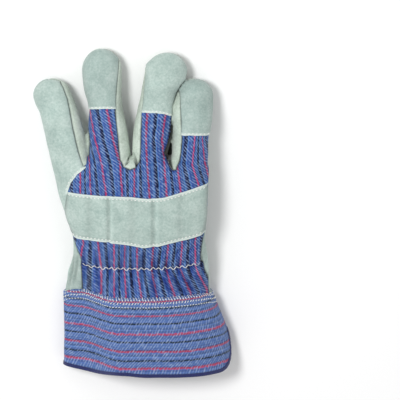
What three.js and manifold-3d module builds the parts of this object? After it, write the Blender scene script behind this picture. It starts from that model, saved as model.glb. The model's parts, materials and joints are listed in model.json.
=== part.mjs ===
// A leather docker glove for the right hand, lying on its palm with the thumb folded under it.
// The back is striped cotton, and the palm, thumb, index finger, fingertips, finger side
// walls and knuckle strap are split leather. A bound cotton cuff is sewn to the wrist.
//
// Millimetres. +Y runs along the hand to the fingertips, +Z is up, out of the back of the
// hand, and +X points to the little finger. The tables below are set out from the middle of
// the elasticated wrist, and the finished glove is moved so that the origin is under the
// middle of its bounding box.
//
// The glove is lofted once as a full outer form and once as the hollow inside it. The wall
// between them is then cut along the seams into the panels that the glove is sewn from.

import * as THREE from 'three';
import { mergeVertices } from 'three/addons/utils/BufferGeometryUtils.js';
import Module from 'manifold-3d';

const wasm = await Module();
wasm.setup();

// Driving dimensions
const WALL = 1.8; // leather, or cotton with its backing
const SEAM_GAP = 0.3; // between panels that are sewn together
const TIP_LAP = 0.8; // how far the fingertip leather stands over the cotton
const STRAP_THICK = 1.6;
const STRAP_GAP = 0.45; // between the strap and the cotton
const WRIST_END = -23.6; // where the hand's panels end
const CUFF_TOP = -24; // where the cuff is sewn to them
const CUFF_END = -89.9; // the cuff's bound edge
const CUFF_STEP = 1.5; // how far the cuff's top stands outside the wrist
const TAPE_WIDTH = 3.2; // the binding that shows along the cuff's edge
const TAPE_PROUD = 0.7; // the binding outside the cuff's cloth, on each face
const NOTCH = { depth: 29, corner: 25, slit: 0.5 }; // the cuff's opening at the little finger side
const REST = -TAPE_PROUD; // the surface that the glove lies on
const FRONT_BAND = 8; // height of a finger's side wall below its back panel
const GATHER = { pitch: 9.4, depth: 1.2, reach: 13 }; // folds drawn in by the wrist elastic
const WRIST_SPARE = 0.7; // the gathered cotton is this much thicker than a flat wall
const KNUCKLE_END = 91.4; // where the hand ends between the fingers
const KNUCKLE_ROUND = 12;
const CEILING = 80; // above the glove, where the cutting prisms end
const FLOOR = -20; // below it

// Facets round each form
const HAND_FACETS = { top: 44, bottom: 12 };
const STRAP_FACETS = { top: 34, bottom: 8 };
const HAND_INSIDE_FACETS = { top: 18, bottom: 8 };
const FINGER_FACETS = { round: 16, tip: [0, 30, 55, 78] };
const FINGER_INSIDE_FACETS = { round: 12, tip: [0, 36, 66] };
const CUFF_STEP_LENGTH = 9.5;

// The hand from the wrist to the knuckles, a row for each section: left and right edges, the
// underside, the height of the widest place, the top, and how far the left side is pressed
// flat (0 to 1).
const HAND = [
  { y: -40, left: -60, right: 62, low: 0, mid: 9.5, high: 43, shelf: 0.74 },
  { y: -24, left: -58.2, right: 57.6, low: 2.4, mid: 11.5, high: 41.5, shelf: 0.66 },
  { y: -12, left: -56, right: 56.6, low: 6.5, mid: 17.5, high: 41, shelf: 0.4 },
  { y: 0, left: -53.6, right: 55.4, low: 10.5, mid: 22, high: 39.5, shelf: 0.12 },
  { y: 12, left: -52, right: 54.8, low: 13.5, mid: 25, high: 44, shelf: 0 },
  { y: 24, left: -52, right: 53.8, low: 15.6, mid: 27, high: 47, shelf: 0 },
  { y: 44, left: -57.6, right: 55.6, low: 17.4, mid: 29, high: 49, shelf: 0 },
  { y: 62, left: -62.8, right: 56.2, low: 17.2, mid: 29.5, high: 47.6, shelf: 0 },
  { y: 79, left: -66.4, right: 57, low: 14.8, mid: 28, high: 44.4, shelf: 0 },
  { y: 95, left: -67.6, right: 57, low: 12.5, mid: 26, high: 40, shelf: 0 },
];

// The cuff from its seam to its bound edge. Next to the seam it takes the wrist's own shape.
const CUFF = [
  { y: -24, left: -59.6, right: 59, low: 0, mid: 10.5, high: 43, shelf: 0.62 },
  { y: -40, left: -60, right: 64.4, low: -1.5, mid: 11, high: 44, shelf: 0.63 },
  { y: -62, left: -60, right: 72.6, low: -2, mid: 11, high: 45, shelf: 0.62 },
  { y: -90, left: -59.8, right: 78, low: -2, mid: 11, high: 45, shelf: 0.58 },
];

// Soft dents: where each is, how it leans, its depth, and its width and reach along the hand.
const WRIST_DENTS = [
  { x: 22, y: -13, lean: -0.3, depth: 1.1, width: 3.2, reach: 11 },
  { x: 33, y: -14, lean: -0.35, depth: 1, width: 3.2, reach: 12 },
  { x: -10, y: -14, lean: 0.1, depth: 0.8, width: 3.2, reach: 9 },
];
const STRAP_DENTS = [
  { x: -21, y: 44, lean: 0, depth: 0.9, width: 4.5, reach: 22 },
  { x: 13, y: 44, lean: 0, depth: 0.8, width: 4.5, reach: 22 },
];

// Each finger, a row for each section: centre line, width, height of the middle, thickness,
// and where the visible seam of its back panel lies, measured to the right of the centre. A
// round section has a power of 1, and a lower one is squarer.
const FINGERS = {
  index: {
    tip: 151,
    power: 0.9,
    rows: [
      { y: 52, x: -45, wide: 17, mid: 31, high: 17, seam: 5 },
      { y: 68, x: -49.2, wide: 27, mid: 28.6, high: 23, seam: 8 },
      { y: 84, x: -52.9, wide: 29.4, mid: 26.6, high: 26.5, seam: 10.4 },
      { y: 98, x: -55, wide: 32, mid: 23.4, high: 26, seam: 8.5 },
      { y: 116, x: -60.1, wide: 30.6, mid: 18.8, high: 25, seam: 9.3 },
      { y: 129, x: -64, wide: 29.2, mid: 14.4, high: 25, seam: 10.9 },
      { y: 137, x: -67.8, wide: 30.6, mid: 11.8, high: 24.8, seam: 13 },
      { y: 145, x: -70, wide: 31.2, mid: 10.8, high: 24, seam: 11.8 },
      { y: 153, x: -71.4, wide: 31, mid: 10.2, high: 23, seam: 7 },
    ],
  },
  middle: {
    tip: 175,
    power: 0.9,
    rows: [
      { y: 52, x: -22, wide: 20, mid: 33, high: 19, seam: 6 },
      { y: 70, x: -22.4, wide: 31.4, mid: 29.4, high: 25.6, seam: 8.8 },
      { y: 88, x: -22.6, wide: 34, mid: 26.2, high: 27, seam: 9.1 },
      { y: 107, x: -23.6, wide: 32.6, mid: 22, high: 26, seam: 8.8 },
      { y: 120, x: -24.3, wide: 28.6, mid: 19, high: 24.6, seam: 8.1 },
      { y: 131, x: -24.8, wide: 26, mid: 16.8, high: 24.4, seam: 7.8 },
      { y: 145, x: -27.1, wide: 30, mid: 14.2, high: 24.6, seam: 11 },
      { y: 161, x: -27.9, wide: 31.6, mid: 11.1, high: 24.4, seam: 13.4 },
      { y: 177, x: -28, wide: 30.6, mid: 10, high: 22.6, seam: 13.4 },
    ],
  },
  ring: {
    tip: 172,
    power: 0.9,
    rows: [
      { y: 52, x: 9.5, wide: 19, mid: 33, high: 19, seam: -5 },
      { y: 70, x: 10, wide: 27.4, mid: 29.4, high: 25.6, seam: -7.4 },
      { y: 92, x: 9.9, wide: 27.6, mid: 25.4, high: 27, seam: -7.6 },
      { y: 107, x: 11.6, wide: 30.6, mid: 22, high: 26, seam: -9.1 },
      { y: 121, x: 13.5, wide: 29, mid: 19, high: 25, seam: -10.6 },
      { y: 132, x: 15.4, wide: 27.3, mid: 16.8, high: 24.6, seam: -11.2 },
      { y: 144, x: 17.8, wide: 27.8, mid: 14.4, high: 25, seam: -12.7 },
      { y: 157, x: 22.7, wide: 35.2, mid: 11.6, high: 25.4, seam: -16.3 },
      { y: 174, x: 24, wide: 34, mid: 10.4, high: 23.6, seam: -17.6 },
    ],
  },
  small: {
    tip: 150.6,
    power: 0.9,
    rows: [
      { y: 52, x: 40, wide: 17, mid: 31, high: 17, seam: -5 },
      { y: 68, x: 41.4, wide: 26, mid: 28.4, high: 22, seam: -8 },
      { y: 88, x: 41.7, wide: 28.6, mid: 26.2, high: 26.5, seam: -8.2 },
      { y: 107, x: 42.5, wide: 28.2, mid: 22.4, high: 25.2, seam: -7.3 },
      { y: 121, x: 43.8, wide: 31, mid: 18.6, high: 24.6, seam: -9.1 },
      { y: 138, x: 45.9, wide: 28.6, mid: 12.2, high: 24.6, seam: -12.2 },
      { y: 152, x: 46.6, wide: 28.4, mid: 10.2, high: 22.6, seam: -14 },
    ],
  },
};

// The thumb, along its own line under the palm. Its rows start inside the palm.
const THUMB = {
  root: { x: -46.5, y: 22 },
  turn: 27, // degrees from +X towards +Y
  tip: 88,
  power: 0.72,
  rows: [
    { y: 0, x: 0, wide: 22, mid: 25, high: 10 },
    { y: 10, x: 0, wide: 35, mid: 18.6, high: 14 },
    { y: 20, x: 0, wide: 42, mid: 12.4, high: 16 },
    { y: 32, x: 0, wide: 43.5, mid: 8.2, high: 16.6 },
    { y: 46, x: 0, wide: 41.5, mid: 6.9, high: 15.8 },
    { y: 66, x: 0, wide: 38, mid: 6.5, high: 15.4 },
    { y: 88, x: 0, wide: 35, mid: 6.3, high: 15 },
  ],
};

// Where the fingertip leather ends over the cotton, at the left, middle and right of a finger.
const HEMS = {
  middle: { left: 128, middle: 130.9, right: 128 },
  ring: { left: 126.6, middle: 127.6, right: 122.4 },
  small: { left: 109.2, middle: 110.2, right: 108.6 },
};

// The height of the side seam, where a panel of the back meets the side of the glove.
const SIDE_LINE = [
  { y: -40, z: 12 },
  { y: -12, z: 20 },
  { y: 24, z: 28 },
  { y: 62, z: 31 },
  { y: 88, z: 26.5 },
  { y: 120, z: 18 },
  { y: 140, z: 11.5 },
  { y: 160, z: 9.6 },
  { y: 200, z: 9.4 },
];

// The edge of the cotton back, seen from above, from the index finger down to the cuff.
const COTTON_LEFT = [
  [-40.2, 88], [-46, 81.4], [-51, 74], [-56.5, 64], [-58, 48], [-52.6, 25],
  [-48.5, 15], [-45, 6], [-44.5, -6], [-44.8, -30],
];
const COTTON_RIGHT = [
  [59.5, -30], [58, -16], [53.5, -3], [50.5, 5], [52.5, 18], [55.5, 28], [62, 40], [64, 90],
];

// The lines between fingers that lie close together, seen from above.
const INDEX_MIDDLE_GAP = [
  [-39.8, 86], [-40.4, 98], [-42, 110], [-43, 128], [-46, 145], [-50, 165], [-54, 195],
];
const RING_SMALL_GAP = [
  [26.6, 92], [27.2, 104], [28, 118], [29, 131], [31, 139], [32.4, 143.4], [34.4, 147],
  [37.6, 150], [41.4, 154], [44, 170], [46, 195],
];

// The knuckle strap's edges, seen from above.
const STRAP_TOP = [
  [-56.4, 65.4], [-30, 64], [-8, 63.6], [9, 62], [21, 62.6], [36, 66.2], [48, 69.4], [66, 71.5],
];
const STRAP_BOTTOM = [
  [66, 31.5], [54, 29.7], [30, 25.6], [17, 22.8], [4, 21.5], [-8, 24], [-24, 26], [-41, 26.4],
  [-52.6, 26.4], [-56, 37], [-58.8, 48],
];

// A column of a table at a place along it, with smooth slopes through the rows.
function at(rows, key, y) {
  const up = rows[0].y < rows[rows.length - 1].y;
  const table = up ? rows : [...rows].reverse();
  const last = table.length - 1;
  let i = table.findIndex((row) => row.y >= y);
  if (i === -1) i = last;
  if (i === 0) i = 1;
  const slope = (k) => {
    const a = table[Math.max(0, k - 1)];
    const b = table[Math.min(last, k + 1)];
    return (b[key] - a[key]) / (b.y - a.y);
  };
  const [a, b] = [table[i - 1], table[i]];
  const h = b.y - a.y;
  const t = THREE.MathUtils.clamp((y - a.y) / h, 0, 1);
  const s = t * t * (3 - 2 * t);
  const lead = t * (1 - t) * (1 - t) * slope(i - 1) * h;
  const trail = t * t * (1 - t) * slope(i) * h;
  return a[key] * (1 - s) + b[key] * s + lead - trail;
}

const signedPower = (v, power) => Math.sign(v) * Math.abs(v) ** power;

// The share of the top's height that is left where the left side is pressed flat.
function shelfShare(u, shelf) {
  const rise = THREE.MathUtils.smoothstep(u, -0.8, -0.3);
  return 1 - shelf * (1 - rise);
}

// How near a place is to the wrist elastic, 1 on it and 0 far from it.
const nearElastic = (y) => Math.exp(-((y / GATHER.reach) ** 2));

// The folds that the elastic draws into the back of the wrist.
function gathers(x, y) {
  const wave = Math.cos((x / GATHER.pitch) * 2 * Math.PI + 0.5 * Math.sin(x * 0.09));
  return GATHER.depth * nearElastic(y) * wave;
}

function dented(dents, x, y) {
  const depths = dents.map((dent) => {
    const across = (x - dent.x - dent.lean * (y - dent.y)) / dent.width;
    const along = (y - dent.y) / dent.reach;
    return dent.depth * Math.exp(-(across ** 2) - along ** 4);
  });
  return -depths.reduce((sum, depth) => sum + depth, 0);
}

const wristRelief = (x, y) => gathers(x, y) + dented(WRIST_DENTS, x, y);
const strapRelief = (x, y) => dented(STRAP_DENTS, x, y);
const smooth = () => 0;

// A point of the hand or the cuff in its own section: the angle a goes round from the right
// edge over the top.
function sectionPoint(table, y, a) {
  const value = (key) => at(table, key, y);
  const over = Math.max(0, y - (KNUCKLE_END - KNUCKLE_ROUND)) / KNUCKLE_ROUND;
  const keep = Math.sqrt(Math.max(0, 1 - Math.min(1, over) ** 2)) * 0.8 + 0.2;
  const shrink = (1 - keep) * KNUCKLE_ROUND;
  const half = (value('right') - value('left')) / 2 - shrink;
  const middle = (value('right') + value('left')) / 2;
  const u = signedPower(Math.cos(a), 0.92);
  const mid = value('mid');
  if (Math.sin(a) < 0) {
    return [middle + half * u, mid - (mid - value('low')) * keep * (-Math.sin(a)) ** 0.7];
  }
  const crest = (value('high') - mid) * keep * Math.sin(a) ** 0.9;
  return [middle + half * u, mid + crest * shelfShare(u, value('shelf'))];
}

// The same point moved square to the surface, and down to the floor at the lowest.
function surfacePoint(table, y, a, grow, relief = smooth) {
  const step = 0.02;
  const [ax, az] = sectionPoint(table, y, a - step);
  const [bx, bz] = sectionPoint(table, y, a + step);
  const [x, z] = sectionPoint(table, y, a);
  const length = Math.hypot(bx - ax, bz - az);
  const bump = Math.sin(a) > 0 ? relief(x, y) * Math.sin(a) ** 0.5 : 0;
  const out = new THREE.Vector3(x, y, z + bump);
  out.add(new THREE.Vector3((bz - az) / length, 0, (ax - bx) / length).multiplyScalar(grow));
  out.z = Math.max(out.z, -grow);
  return out;
}

// Angles round a section, closer together over the top, where the folds are.
function sectionAngles({ top, bottom }) {
  const over = Array.from({ length: top }, (_, i) => {
    const t = i / top;
    return 0.34 * Math.PI * t + 0.66 * Math.acos(1 - 2 * t);
  });
  const under = Array.from({ length: bottom }, (_, i) => (1 + i / bottom) * Math.PI);
  return [...over, ...under];
}

// Moves each side of a closed outline outwards by a distance, with its corners kept.
function pushOut(points, distance) {
  const n = points.length;
  const normals = points.map(([x, y], i) => {
    const [nextX, nextY] = points[(i + 1) % n];
    const length = Math.hypot(nextX - x, nextY - y);
    return [(nextY - y) / length, (x - nextX) / length];
  });
  return points.map(([x, y], i) => {
    const [a, b] = [normals[(i + n - 1) % n], normals[i]];
    const reach = distance / Math.max(0.35, 1 + a[0] * b[0] + a[1] * b[1]);
    return [x + (a[0] + b[0]) * reach, y + (a[1] + b[1]) * reach];
  });
}

// One section of a finger, square to its centre line.
function fingerRing(finger, y, scale, grow, round) {
  const step = 1;
  const lean = Math.atan2(at(finger.rows, 'x', y + step) - at(finger.rows, 'x', y - step), 2 * step);
  const half = (at(finger.rows, 'wide', y) / 2 + grow) * scale;
  const tall = (at(finger.rows, 'high', y) / 2 + grow) * scale;
  return Array.from({ length: round }, (_, i) => {
    const a = ((i + 0.5) / round) * 2 * Math.PI;
    const side = signedPower(Math.cos(a), finger.power) * half;
    const lift = signedPower(Math.sin(a), finger.power) * tall;
    return new THREE.Vector3(
      at(finger.rows, 'x', y) + side * Math.cos(lean),
      y - side * Math.sin(lean),
      Math.max(at(finger.rows, 'mid', y) + lift, REST - grow),
    );
  });
}

// A finger's rings: its own rows, then a round tip.
function fingerRings(finger, grow, { round, tip }) {
  const radius = at(finger.rows, 'wide', finger.tip) / 2;
  const tipStart = finger.tip - radius;
  const rings = finger.rows
    .filter((row) => row.y < tipStart - 2)
    .map((row) => fingerRing(finger, row.y, 1, grow, round));
  for (const degrees of tip) {
    const a = THREE.MathUtils.degToRad(degrees);
    const y = tipStart + (radius + grow) * Math.sin(a);
    rings.push(fingerRing(finger, y, Math.cos(a), grow, round));
  }
  return rings;
}

// A closed solid through a row of rings that all have the same number of points.
function loft(rings) {
  const n = rings[0].length;
  const centre = (ring) => ring.reduce((s, p) => s.add(p), new THREE.Vector3()).divideScalar(n);
  const points = [...rings.flat(), centre(rings[0]), centre(rings[rings.length - 1])];
  const faces = [];
  for (let r = 0; r + 1 < rings.length; r++) {
    for (let i = 0; i < n; i++) {
      const j = (i + 1) % n;
      const [a, b, c, d] = [r * n + i, r * n + j, (r + 1) * n + j, (r + 1) * n + i];
      faces.push(a, b, c, a, c, d);
    }
  }
  const [start, end, top] = [points.length - 2, points.length - 1, (rings.length - 1) * n];
  for (let i = 0; i < n; i++) {
    const j = (i + 1) % n;
    faces.push(start, j, i);
    faces.push(end, top + i, top + j);
  }
  const geometry = new THREE.BufferGeometry().setFromPoints(points);
  geometry.setIndex(faces);
  return solid(geometry);
}

// A closed solid through rings that follow each other round in a loop.
function band(rings) {
  const n = rings[0].length;
  const faces = [];
  rings.forEach((_, r) => {
    const next = (r + 1) % rings.length;
    for (let i = 0; i < n; i++) {
      const j = (i + 1) % n;
      const [a, b, c, d] = [r * n + i, r * n + j, next * n + j, next * n + i];
      faces.push(a, b, c, a, c, d);
    }
  });
  const geometry = new THREE.BufferGeometry().setFromPoints(rings.flat());
  geometry.setIndex(faces);
  return solid(geometry);
}

// A three.js geometry as a solid that can be cut and joined, turned right side out.
function solid(geometry) {
  const bare = geometry.clone();
  for (const name of Object.keys(bare.attributes)) {
    if (name !== 'position') bare.deleteAttribute(name);
  }
  const merged = mergeVertices(bare, 1e-4);
  const triVerts = new Uint32Array(merged.index.array);
  const vertProperties = merged.attributes.position.array;
  const make = () => new wasm.Manifold(new wasm.Mesh({ numProp: 3, vertProperties, triVerts }));
  const made = make();
  if (made.volume() >= 0) return made;
  for (let i = 0; i < triVerts.length; i += 3) {
    [triVerts[i + 1], triVerts[i + 2]] = [triVerts[i + 2], triVerts[i + 1]];
  }
  return make();
}

// A prism that stands on an outline seen from above.
function prism(outline, low = FLOOR, high = CEILING) {
  const shape = new THREE.Shape(outline.map(([x, y]) => new THREE.Vector2(x, y)));
  const geometry = new THREE.ExtrudeGeometry(shape, { depth: high - low, bevelEnabled: false });
  return solid(geometry.translate(0, 0, low));
}

// Everything above a line that is drawn along the glove, seen from the side.
function above(line, shift) {
  const points = line.map(({ y, z }) => new THREE.Vector2(y, z + shift));
  const [first, last] = [points[0], points[points.length - 1]];
  points.push(new THREE.Vector2(last.x, CEILING), new THREE.Vector2(first.x, CEILING));
  const geometry = new THREE.ExtrudeGeometry(new THREE.Shape(points), { depth: 260, bevelEnabled: false });
  const turn = new THREE.Matrix4().makeBasis(
    new THREE.Vector3(0, 1, 0), new THREE.Vector3(0, 0, 1), new THREE.Vector3(1, 0, 0),
  );
  return solid(geometry.applyMatrix4(turn).translate(-130, 0, 0));
}

// An outline grown sideways by a distance, which may be negative.
function grown(outline, distance) {
  const turning = THREE.ShapeUtils.area(outline.map(([x, y]) => new THREE.Vector2(x, y)));
  return pushOut(outline, turning > 0 ? distance : -distance);
}

const fingerLine = (finger, key, side, ys) =>
  ys.map((y) => [at(finger.rows, 'x', y) + (key ? at(finger.rows, key, y) : side), y]);

const { index, middle, ring, small } = FINGERS;

// The cotton back with its three finger backs, as one outline seen from above. The fingertip
// leather lies in the same outline, past each hem.
const BACK_OUTLINE = [
  ...COTTON_LEFT.slice().reverse(),
  ...INDEX_MIDDLE_GAP.slice(1),
  ...fingerLine(middle, 'seam', 0, [177, 161, 145, 131, 120, 107, 97]),
  [-13, 90.4], [-10.4, 86.4], [-5.6, 84.4], [-1, 86], [1.6, 90.4],
  ...fingerLine(ring, 'seam', 0, [97, 107, 121, 132, 144, 157, 174]),
  ...RING_SMALL_GAP.slice().reverse(),
  [27.8, 84], [31, 84], [33, 90],
  ...fingerLine(small, 'seam', 0, [96, 107, 121, 138]),
  [33.6, 144], [37, 150.4], [44, 156], [50, 170], [76, 165], [76, 110],
  ...COTTON_RIGHT.slice().reverse(),
];

// The leather back of the index finger, down to its hem over the cotton.
const INDEX_OUTLINE = [
  [-100, 60], [-100, 170], [-72, 170],
  ...fingerLine(index, 'seam', 0, [151, 145, 137, 129, 116, 98, 88]),
  ...COTTON_LEFT.slice(0, 4), [-59, 60],
];

// The outlines of the side walls, each from the middle of one finger to the middle of the next.
const centreOf = (finger) => fingerLine(finger, null, 0, [84, 98, 116, 137, finger.tip - 4]);
const beyondTip = (finger, x) => [x, finger.tip + 20];
const FOURCHETTE_OUTLINES = {
  fourchette_index_middle: [
    [-44, 82], ...centreOf(index), beyondTip(index, -70), beyondTip(middle, -29),
    ...centreOf(middle).reverse(), [-34, 82],
  ],
  fourchette_middle_ring: [
    [-20, 82], ...centreOf(middle), beyondTip(middle, -28), beyondTip(ring, 23),
    ...centreOf(ring).reverse(), [8, 82],
  ],
  fourchette_ring_small: [
    [14, 82], ...centreOf(ring), beyondTip(ring, 24), beyondTip(small, 47),
    ...centreOf(small).reverse(), [38, 82],
  ],
};

// The front of the middle and ring fingers, one piece of leather, seamed across their base.
const FRONTS_OUTLINE = [
  [-39, 84], [-22, 80.6], [-6, 79.6], [12, 80.6], [26, 84],
  ...RING_SMALL_GAP, ...INDEX_MIDDLE_GAP.slice(1).reverse(),
];

// The hand alone, at a distance from its own surface.
function handForm(grow, facets, relief) {
  const ys = relief === wristRelief ? [WRIST_END, -16, -8, 0, 8, 16, 26] : [WRIST_END, -11, 0, 12, 26];
  ys.push(44, 62, KNUCKLE_END - KNUCKLE_ROUND);
  for (const degrees of [30, 55, 75, 90]) {
    const a = THREE.MathUtils.degToRad(degrees);
    ys.push(KNUCKLE_END - KNUCKLE_ROUND + (KNUCKLE_ROUND + grow) * Math.sin(a));
  }
  if (grow < 0) ys[0] -= 2;
  const spare = (y) => (grow < 0 ? WRIST_SPARE * nearElastic(y) : 0);
  const angles = sectionAngles(facets);
  return loft(ys.map((y) => angles.map((a) => surfacePoint(HAND, y, a, grow - spare(y), relief))));
}

function thumbForm(grow, facets) {
  const rings = fingerRings(THUMB, grow, facets);
  return loft(rings.map((points) => points.map((p) => p.clone().applyMatrix4(THUMB_PLACE))));
}

const THUMB_PLACE = new THREE.Matrix4().makeRotationZ(THREE.MathUtils.degToRad(THUMB.turn - 90));
THUMB_PLACE.setPosition(THUMB.root.x, THUMB.root.y, 0);

const fingerForm = (name, grow) => loft(fingerRings(FINGERS[name], grow, FINGER_FACETS));
const fingerInside = (name) => loft(fingerRings(FINGERS[name], -WALL, FINGER_INSIDE_FACETS));
const join = (solids) => solids.reduce((a, b) => a.add(b));
const largest = (made) => made.decompose().sort((a, b) => b.volume() - a.volume())[0];

const names = Object.keys(FINGERS);
const hand = handForm(0, HAND_FACETS, wristRelief);
const handInside = handForm(-WALL, HAND_INSIDE_FACETS, smooth);
const inside = join([handInside, ...names.map(fingerInside)]);
const outside = join([hand, ...names.map((name) => fingerForm(name, 0))]);
const thumbInside = thumbForm(-WALL, FINGER_INSIDE_FACETS);
const shell = outside.subtract(inside).subtract(thumbInside);

const backZone = prism(BACK_OUTLINE).intersect(above(SIDE_LINE, 0));
const backZoneWide = prism(grown(BACK_OUTLINE, SEAM_GAP)).intersect(above(SIDE_LINE, -SEAM_GAP));
const indexZone = prism(INDEX_OUTLINE).intersect(above(SIDE_LINE, 0)).subtract(backZoneWide);
const indexZoneWide = prism(grown(INDEX_OUTLINE, SEAM_GAP)).intersect(above(SIDE_LINE, -SEAM_GAP));
const overBand = above(SIDE_LINE, -FRONT_BAND);
const overBandWide = above(SIDE_LINE, -FRONT_BAND - SEAM_GAP);

// Everything past a finger's hem, moved back along the finger by a distance.
function pastHem(name, back) {
  const { rows, tip } = FINGERS[name];
  const hem = HEMS[name];
  const centre = at(rows, 'x', hem.middle);
  const line = [-1.7, -1, -0.5, 0, 0.5, 1, 1.2].map((t) => {
    const drop = hem.middle - (t < 0 ? hem.left : hem.right);
    return [centre + 14 * t, hem.middle - drop * t * t - back];
  });
  return prism([...line, [centre + 30, tip + 8], [centre - 24, tip + 8]]);
}

// The panels of the back
function backPanels() {
  const pieces = {};
  let cotton = shell.intersect(backZone);
  for (const name of Object.keys(HEMS)) {
    const thick = fingerForm(name, TIP_LAP).subtract(fingerInside(name));
    pieces['tip_' + name] = largest(thick.intersect(backZone).intersect(pastHem(name, 0)));
    cotton = cotton.subtract(pastHem(name, SEAM_GAP).intersect(fingerForm(name, SEAM_GAP)));
  }
  pieces.cotton_back = largest(cotton);
  pieces.index_back = largest(shell.intersect(indexZone));
  return pieces;
}

// The strips of leather between the fingers
function sideWalls() {
  const pieces = {};
  const zone = overBand.subtract(backZoneWide).subtract(indexZoneWide);
  for (const [name, outline] of Object.entries(FOURCHETTE_OUTLINES)) {
    pieces[name] = largest(shell.intersect(prism(outline)).intersect(zone));
  }
  return pieces;
}

// The palm side
function palmPanels() {
  const wallZone = join(Object.values(FOURCHETTE_OUTLINES).map((o) => prism(grown(o, SEAM_GAP))));
  const under = shell
    .subtract(backZoneWide)
    .subtract(indexZoneWide)
    .subtract(wallZone.intersect(overBandWide));
  const fronts = prism(FRONTS_OUTLINE);
  const frontsWide = prism(grown(FRONTS_OUTLINE, SEAM_GAP));
  return {
    finger_fronts: largest(under.intersect(fronts)),
    palm: largest(under.subtract(frontsWide)),
  };
}

// The thumb: a front and a back piece, seamed round its edge
function thumbPanels() {
  const hollow = join([handForm(SEAM_GAP, HAND_FACETS, smooth), handInside]);
  const tube = thumbForm(0, FINGER_FACETS).subtract(thumbInside).subtract(hollow);
  const line = THUMB.rows.map(({ y, mid }) => ({ y, z: mid }));
  line.unshift({ y: -30, z: 44 });
  line.push({ y: 110, z: THUMB.rows.at(-1).mid });
  const upper = above(line, SEAM_GAP / 2).transform(THUMB_PLACE.elements);
  const lower = above(line, -SEAM_GAP / 2).transform(THUMB_PLACE.elements);
  return {
    thumb_back: largest(tube.intersect(upper)),
    thumb_front: largest(tube.subtract(lower)),
  };
}

// The leather strap over the knuckles, stitched on top of the cotton
function strap() {
  const over = handForm(STRAP_GAP + STRAP_THICK, STRAP_FACETS, strapRelief);
  const bed = handForm(STRAP_GAP, STRAP_FACETS, smooth);
  const fingers = join(names.map((name) => fingerForm(name, SEAM_GAP)));
  const zone = prism([...STRAP_TOP, ...STRAP_BOTTOM]).intersect(above(SIDE_LINE, 2));
  return largest(over.subtract(bed).subtract(fingers).intersect(zone));
}

// A point of the cuff. Next to its seam it follows the wrist, a step outside it.
function cuffPoint(a, y, grow) {
  const wrist = surfacePoint(HAND, y, a, grow + CUFF_STEP);
  const cuff = surfacePoint(CUFF, y, a, grow);
  return wrist.lerp(cuff, THREE.MathUtils.smoothstep(-y, -CUFF_TOP, -CUFF_TOP + 14));
}

// The columns of the cuff, once round its bound edge. Each has its place on the edge, as a
// length round the cuff from the side opening and a y, and the direction into the cloth there.
function edgeColumns(around) {
  const apex = CUFF_END + NOTCH.depth;
  const corner = [];
  for (const degrees of [45, 0]) {
    const a = THREE.MathUtils.degToRad(degrees);
    const [ds, dy] = [Math.cos(a), Math.sin(a)];
    corner.push({ s: NOTCH.slit * ds, y: apex + NOTCH.slit * dy, ds, dy });
  }
  for (const degrees of [12, 25, 40, 56, 73, 90]) {
    const a = THREE.MathUtils.degToRad(degrees);
    const s = NOTCH.slit + NOTCH.corner * (1 - Math.cos(a));
    corner.push({ s, y: CUFF_END + NOTCH.depth * (1 - Math.sin(a)), ds: Math.cos(a), dy: Math.sin(a) });
  }
  const mirrored = corner.map((c) => ({ ...c, s: around - c.s, ds: -c.ds })).reverse();
  const plain = [];
  const [from, to] = [NOTCH.slit + NOTCH.corner, around - NOTCH.slit - NOTCH.corner];
  const steps = Math.round((to - from) / CUFF_STEP_LENGTH);
  for (let i = 1; i < steps; i++) {
    plain.push({ s: from + ((to - from) * i) / steps, y: CUFF_END, ds: 0, dy: 1 });
  }
  return [{ s: 0, y: apex + NOTCH.slit, ds: 0, dy: 1 }, ...corner, ...plain, ...mirrored];
}

// The cotton cuff, open at the little finger side, and the binding round its edge
function cuffPanels() {
  const steps = 240;
  const lengths = [0];
  for (let i = 1; i <= steps; i++) {
    const [a, b] = [i - 1, i].map((k) => cuffPoint((k / steps) * 2 * Math.PI, CUFF_END + 12, 0));
    lengths.push(lengths[i - 1] + a.distanceTo(b));
  }
  const around = lengths[steps];
  const angleAt = (s) => {
    const along = ((s % around) + around) % around;
    const i = Math.max(1, lengths.findIndex((length) => length >= along));
    const part = (along - lengths[i - 1]) / (lengths[i] - lengths[i - 1]);
    return ((i - 1 + part) / steps) * 2 * Math.PI;
  };
  const into = (column, distance) => ({
    a: angleAt(column.s + column.ds * distance),
    y: column.y + column.dy * distance,
  });
  const columns = edgeColumns(around);
  const cloth = columns.map((column) => {
    const end = into(column, TAPE_WIDTH);
    const ys = [0, 0.12, 0.24, 0.6, 1].map((part) => CUFF_TOP + (end.y - CUFF_TOP) * part);
    const outer = ys.map((y) => cuffPoint(end.a, y, 0));
    const inner = ys.map((y) => cuffPoint(end.a, y, -WALL)).reverse();
    return [...outer, ...inner];
  });
  const tape = columns.map((column) => {
    const [near, edge] = [into(column, TAPE_WIDTH - SEAM_GAP), into(column, 0)];
    return [
      cuffPoint(near.a, near.y, TAPE_PROUD),
      cuffPoint(edge.a, edge.y, TAPE_PROUD),
      cuffPoint(edge.a, edge.y, -WALL - TAPE_PROUD),
      cuffPoint(near.a, near.y, -WALL - TAPE_PROUD),
    ];
  });
  return { cuff: band(cloth), cuff_binding: band(tape) };
}

// The finished pieces and their materials
const LEATHER = { color: 0xb9cbc4, roughness: 0.92, metalness: 0 };
const COTTON = { color: 0x4a68a8, roughness: 0.88, metalness: 0 };
const TAPE = { color: 0x1c2150, roughness: 0.8, metalness: 0 };
const MATERIALS = { cotton_back: COTTON, cuff: COTTON, cuff_binding: TAPE };

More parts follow.
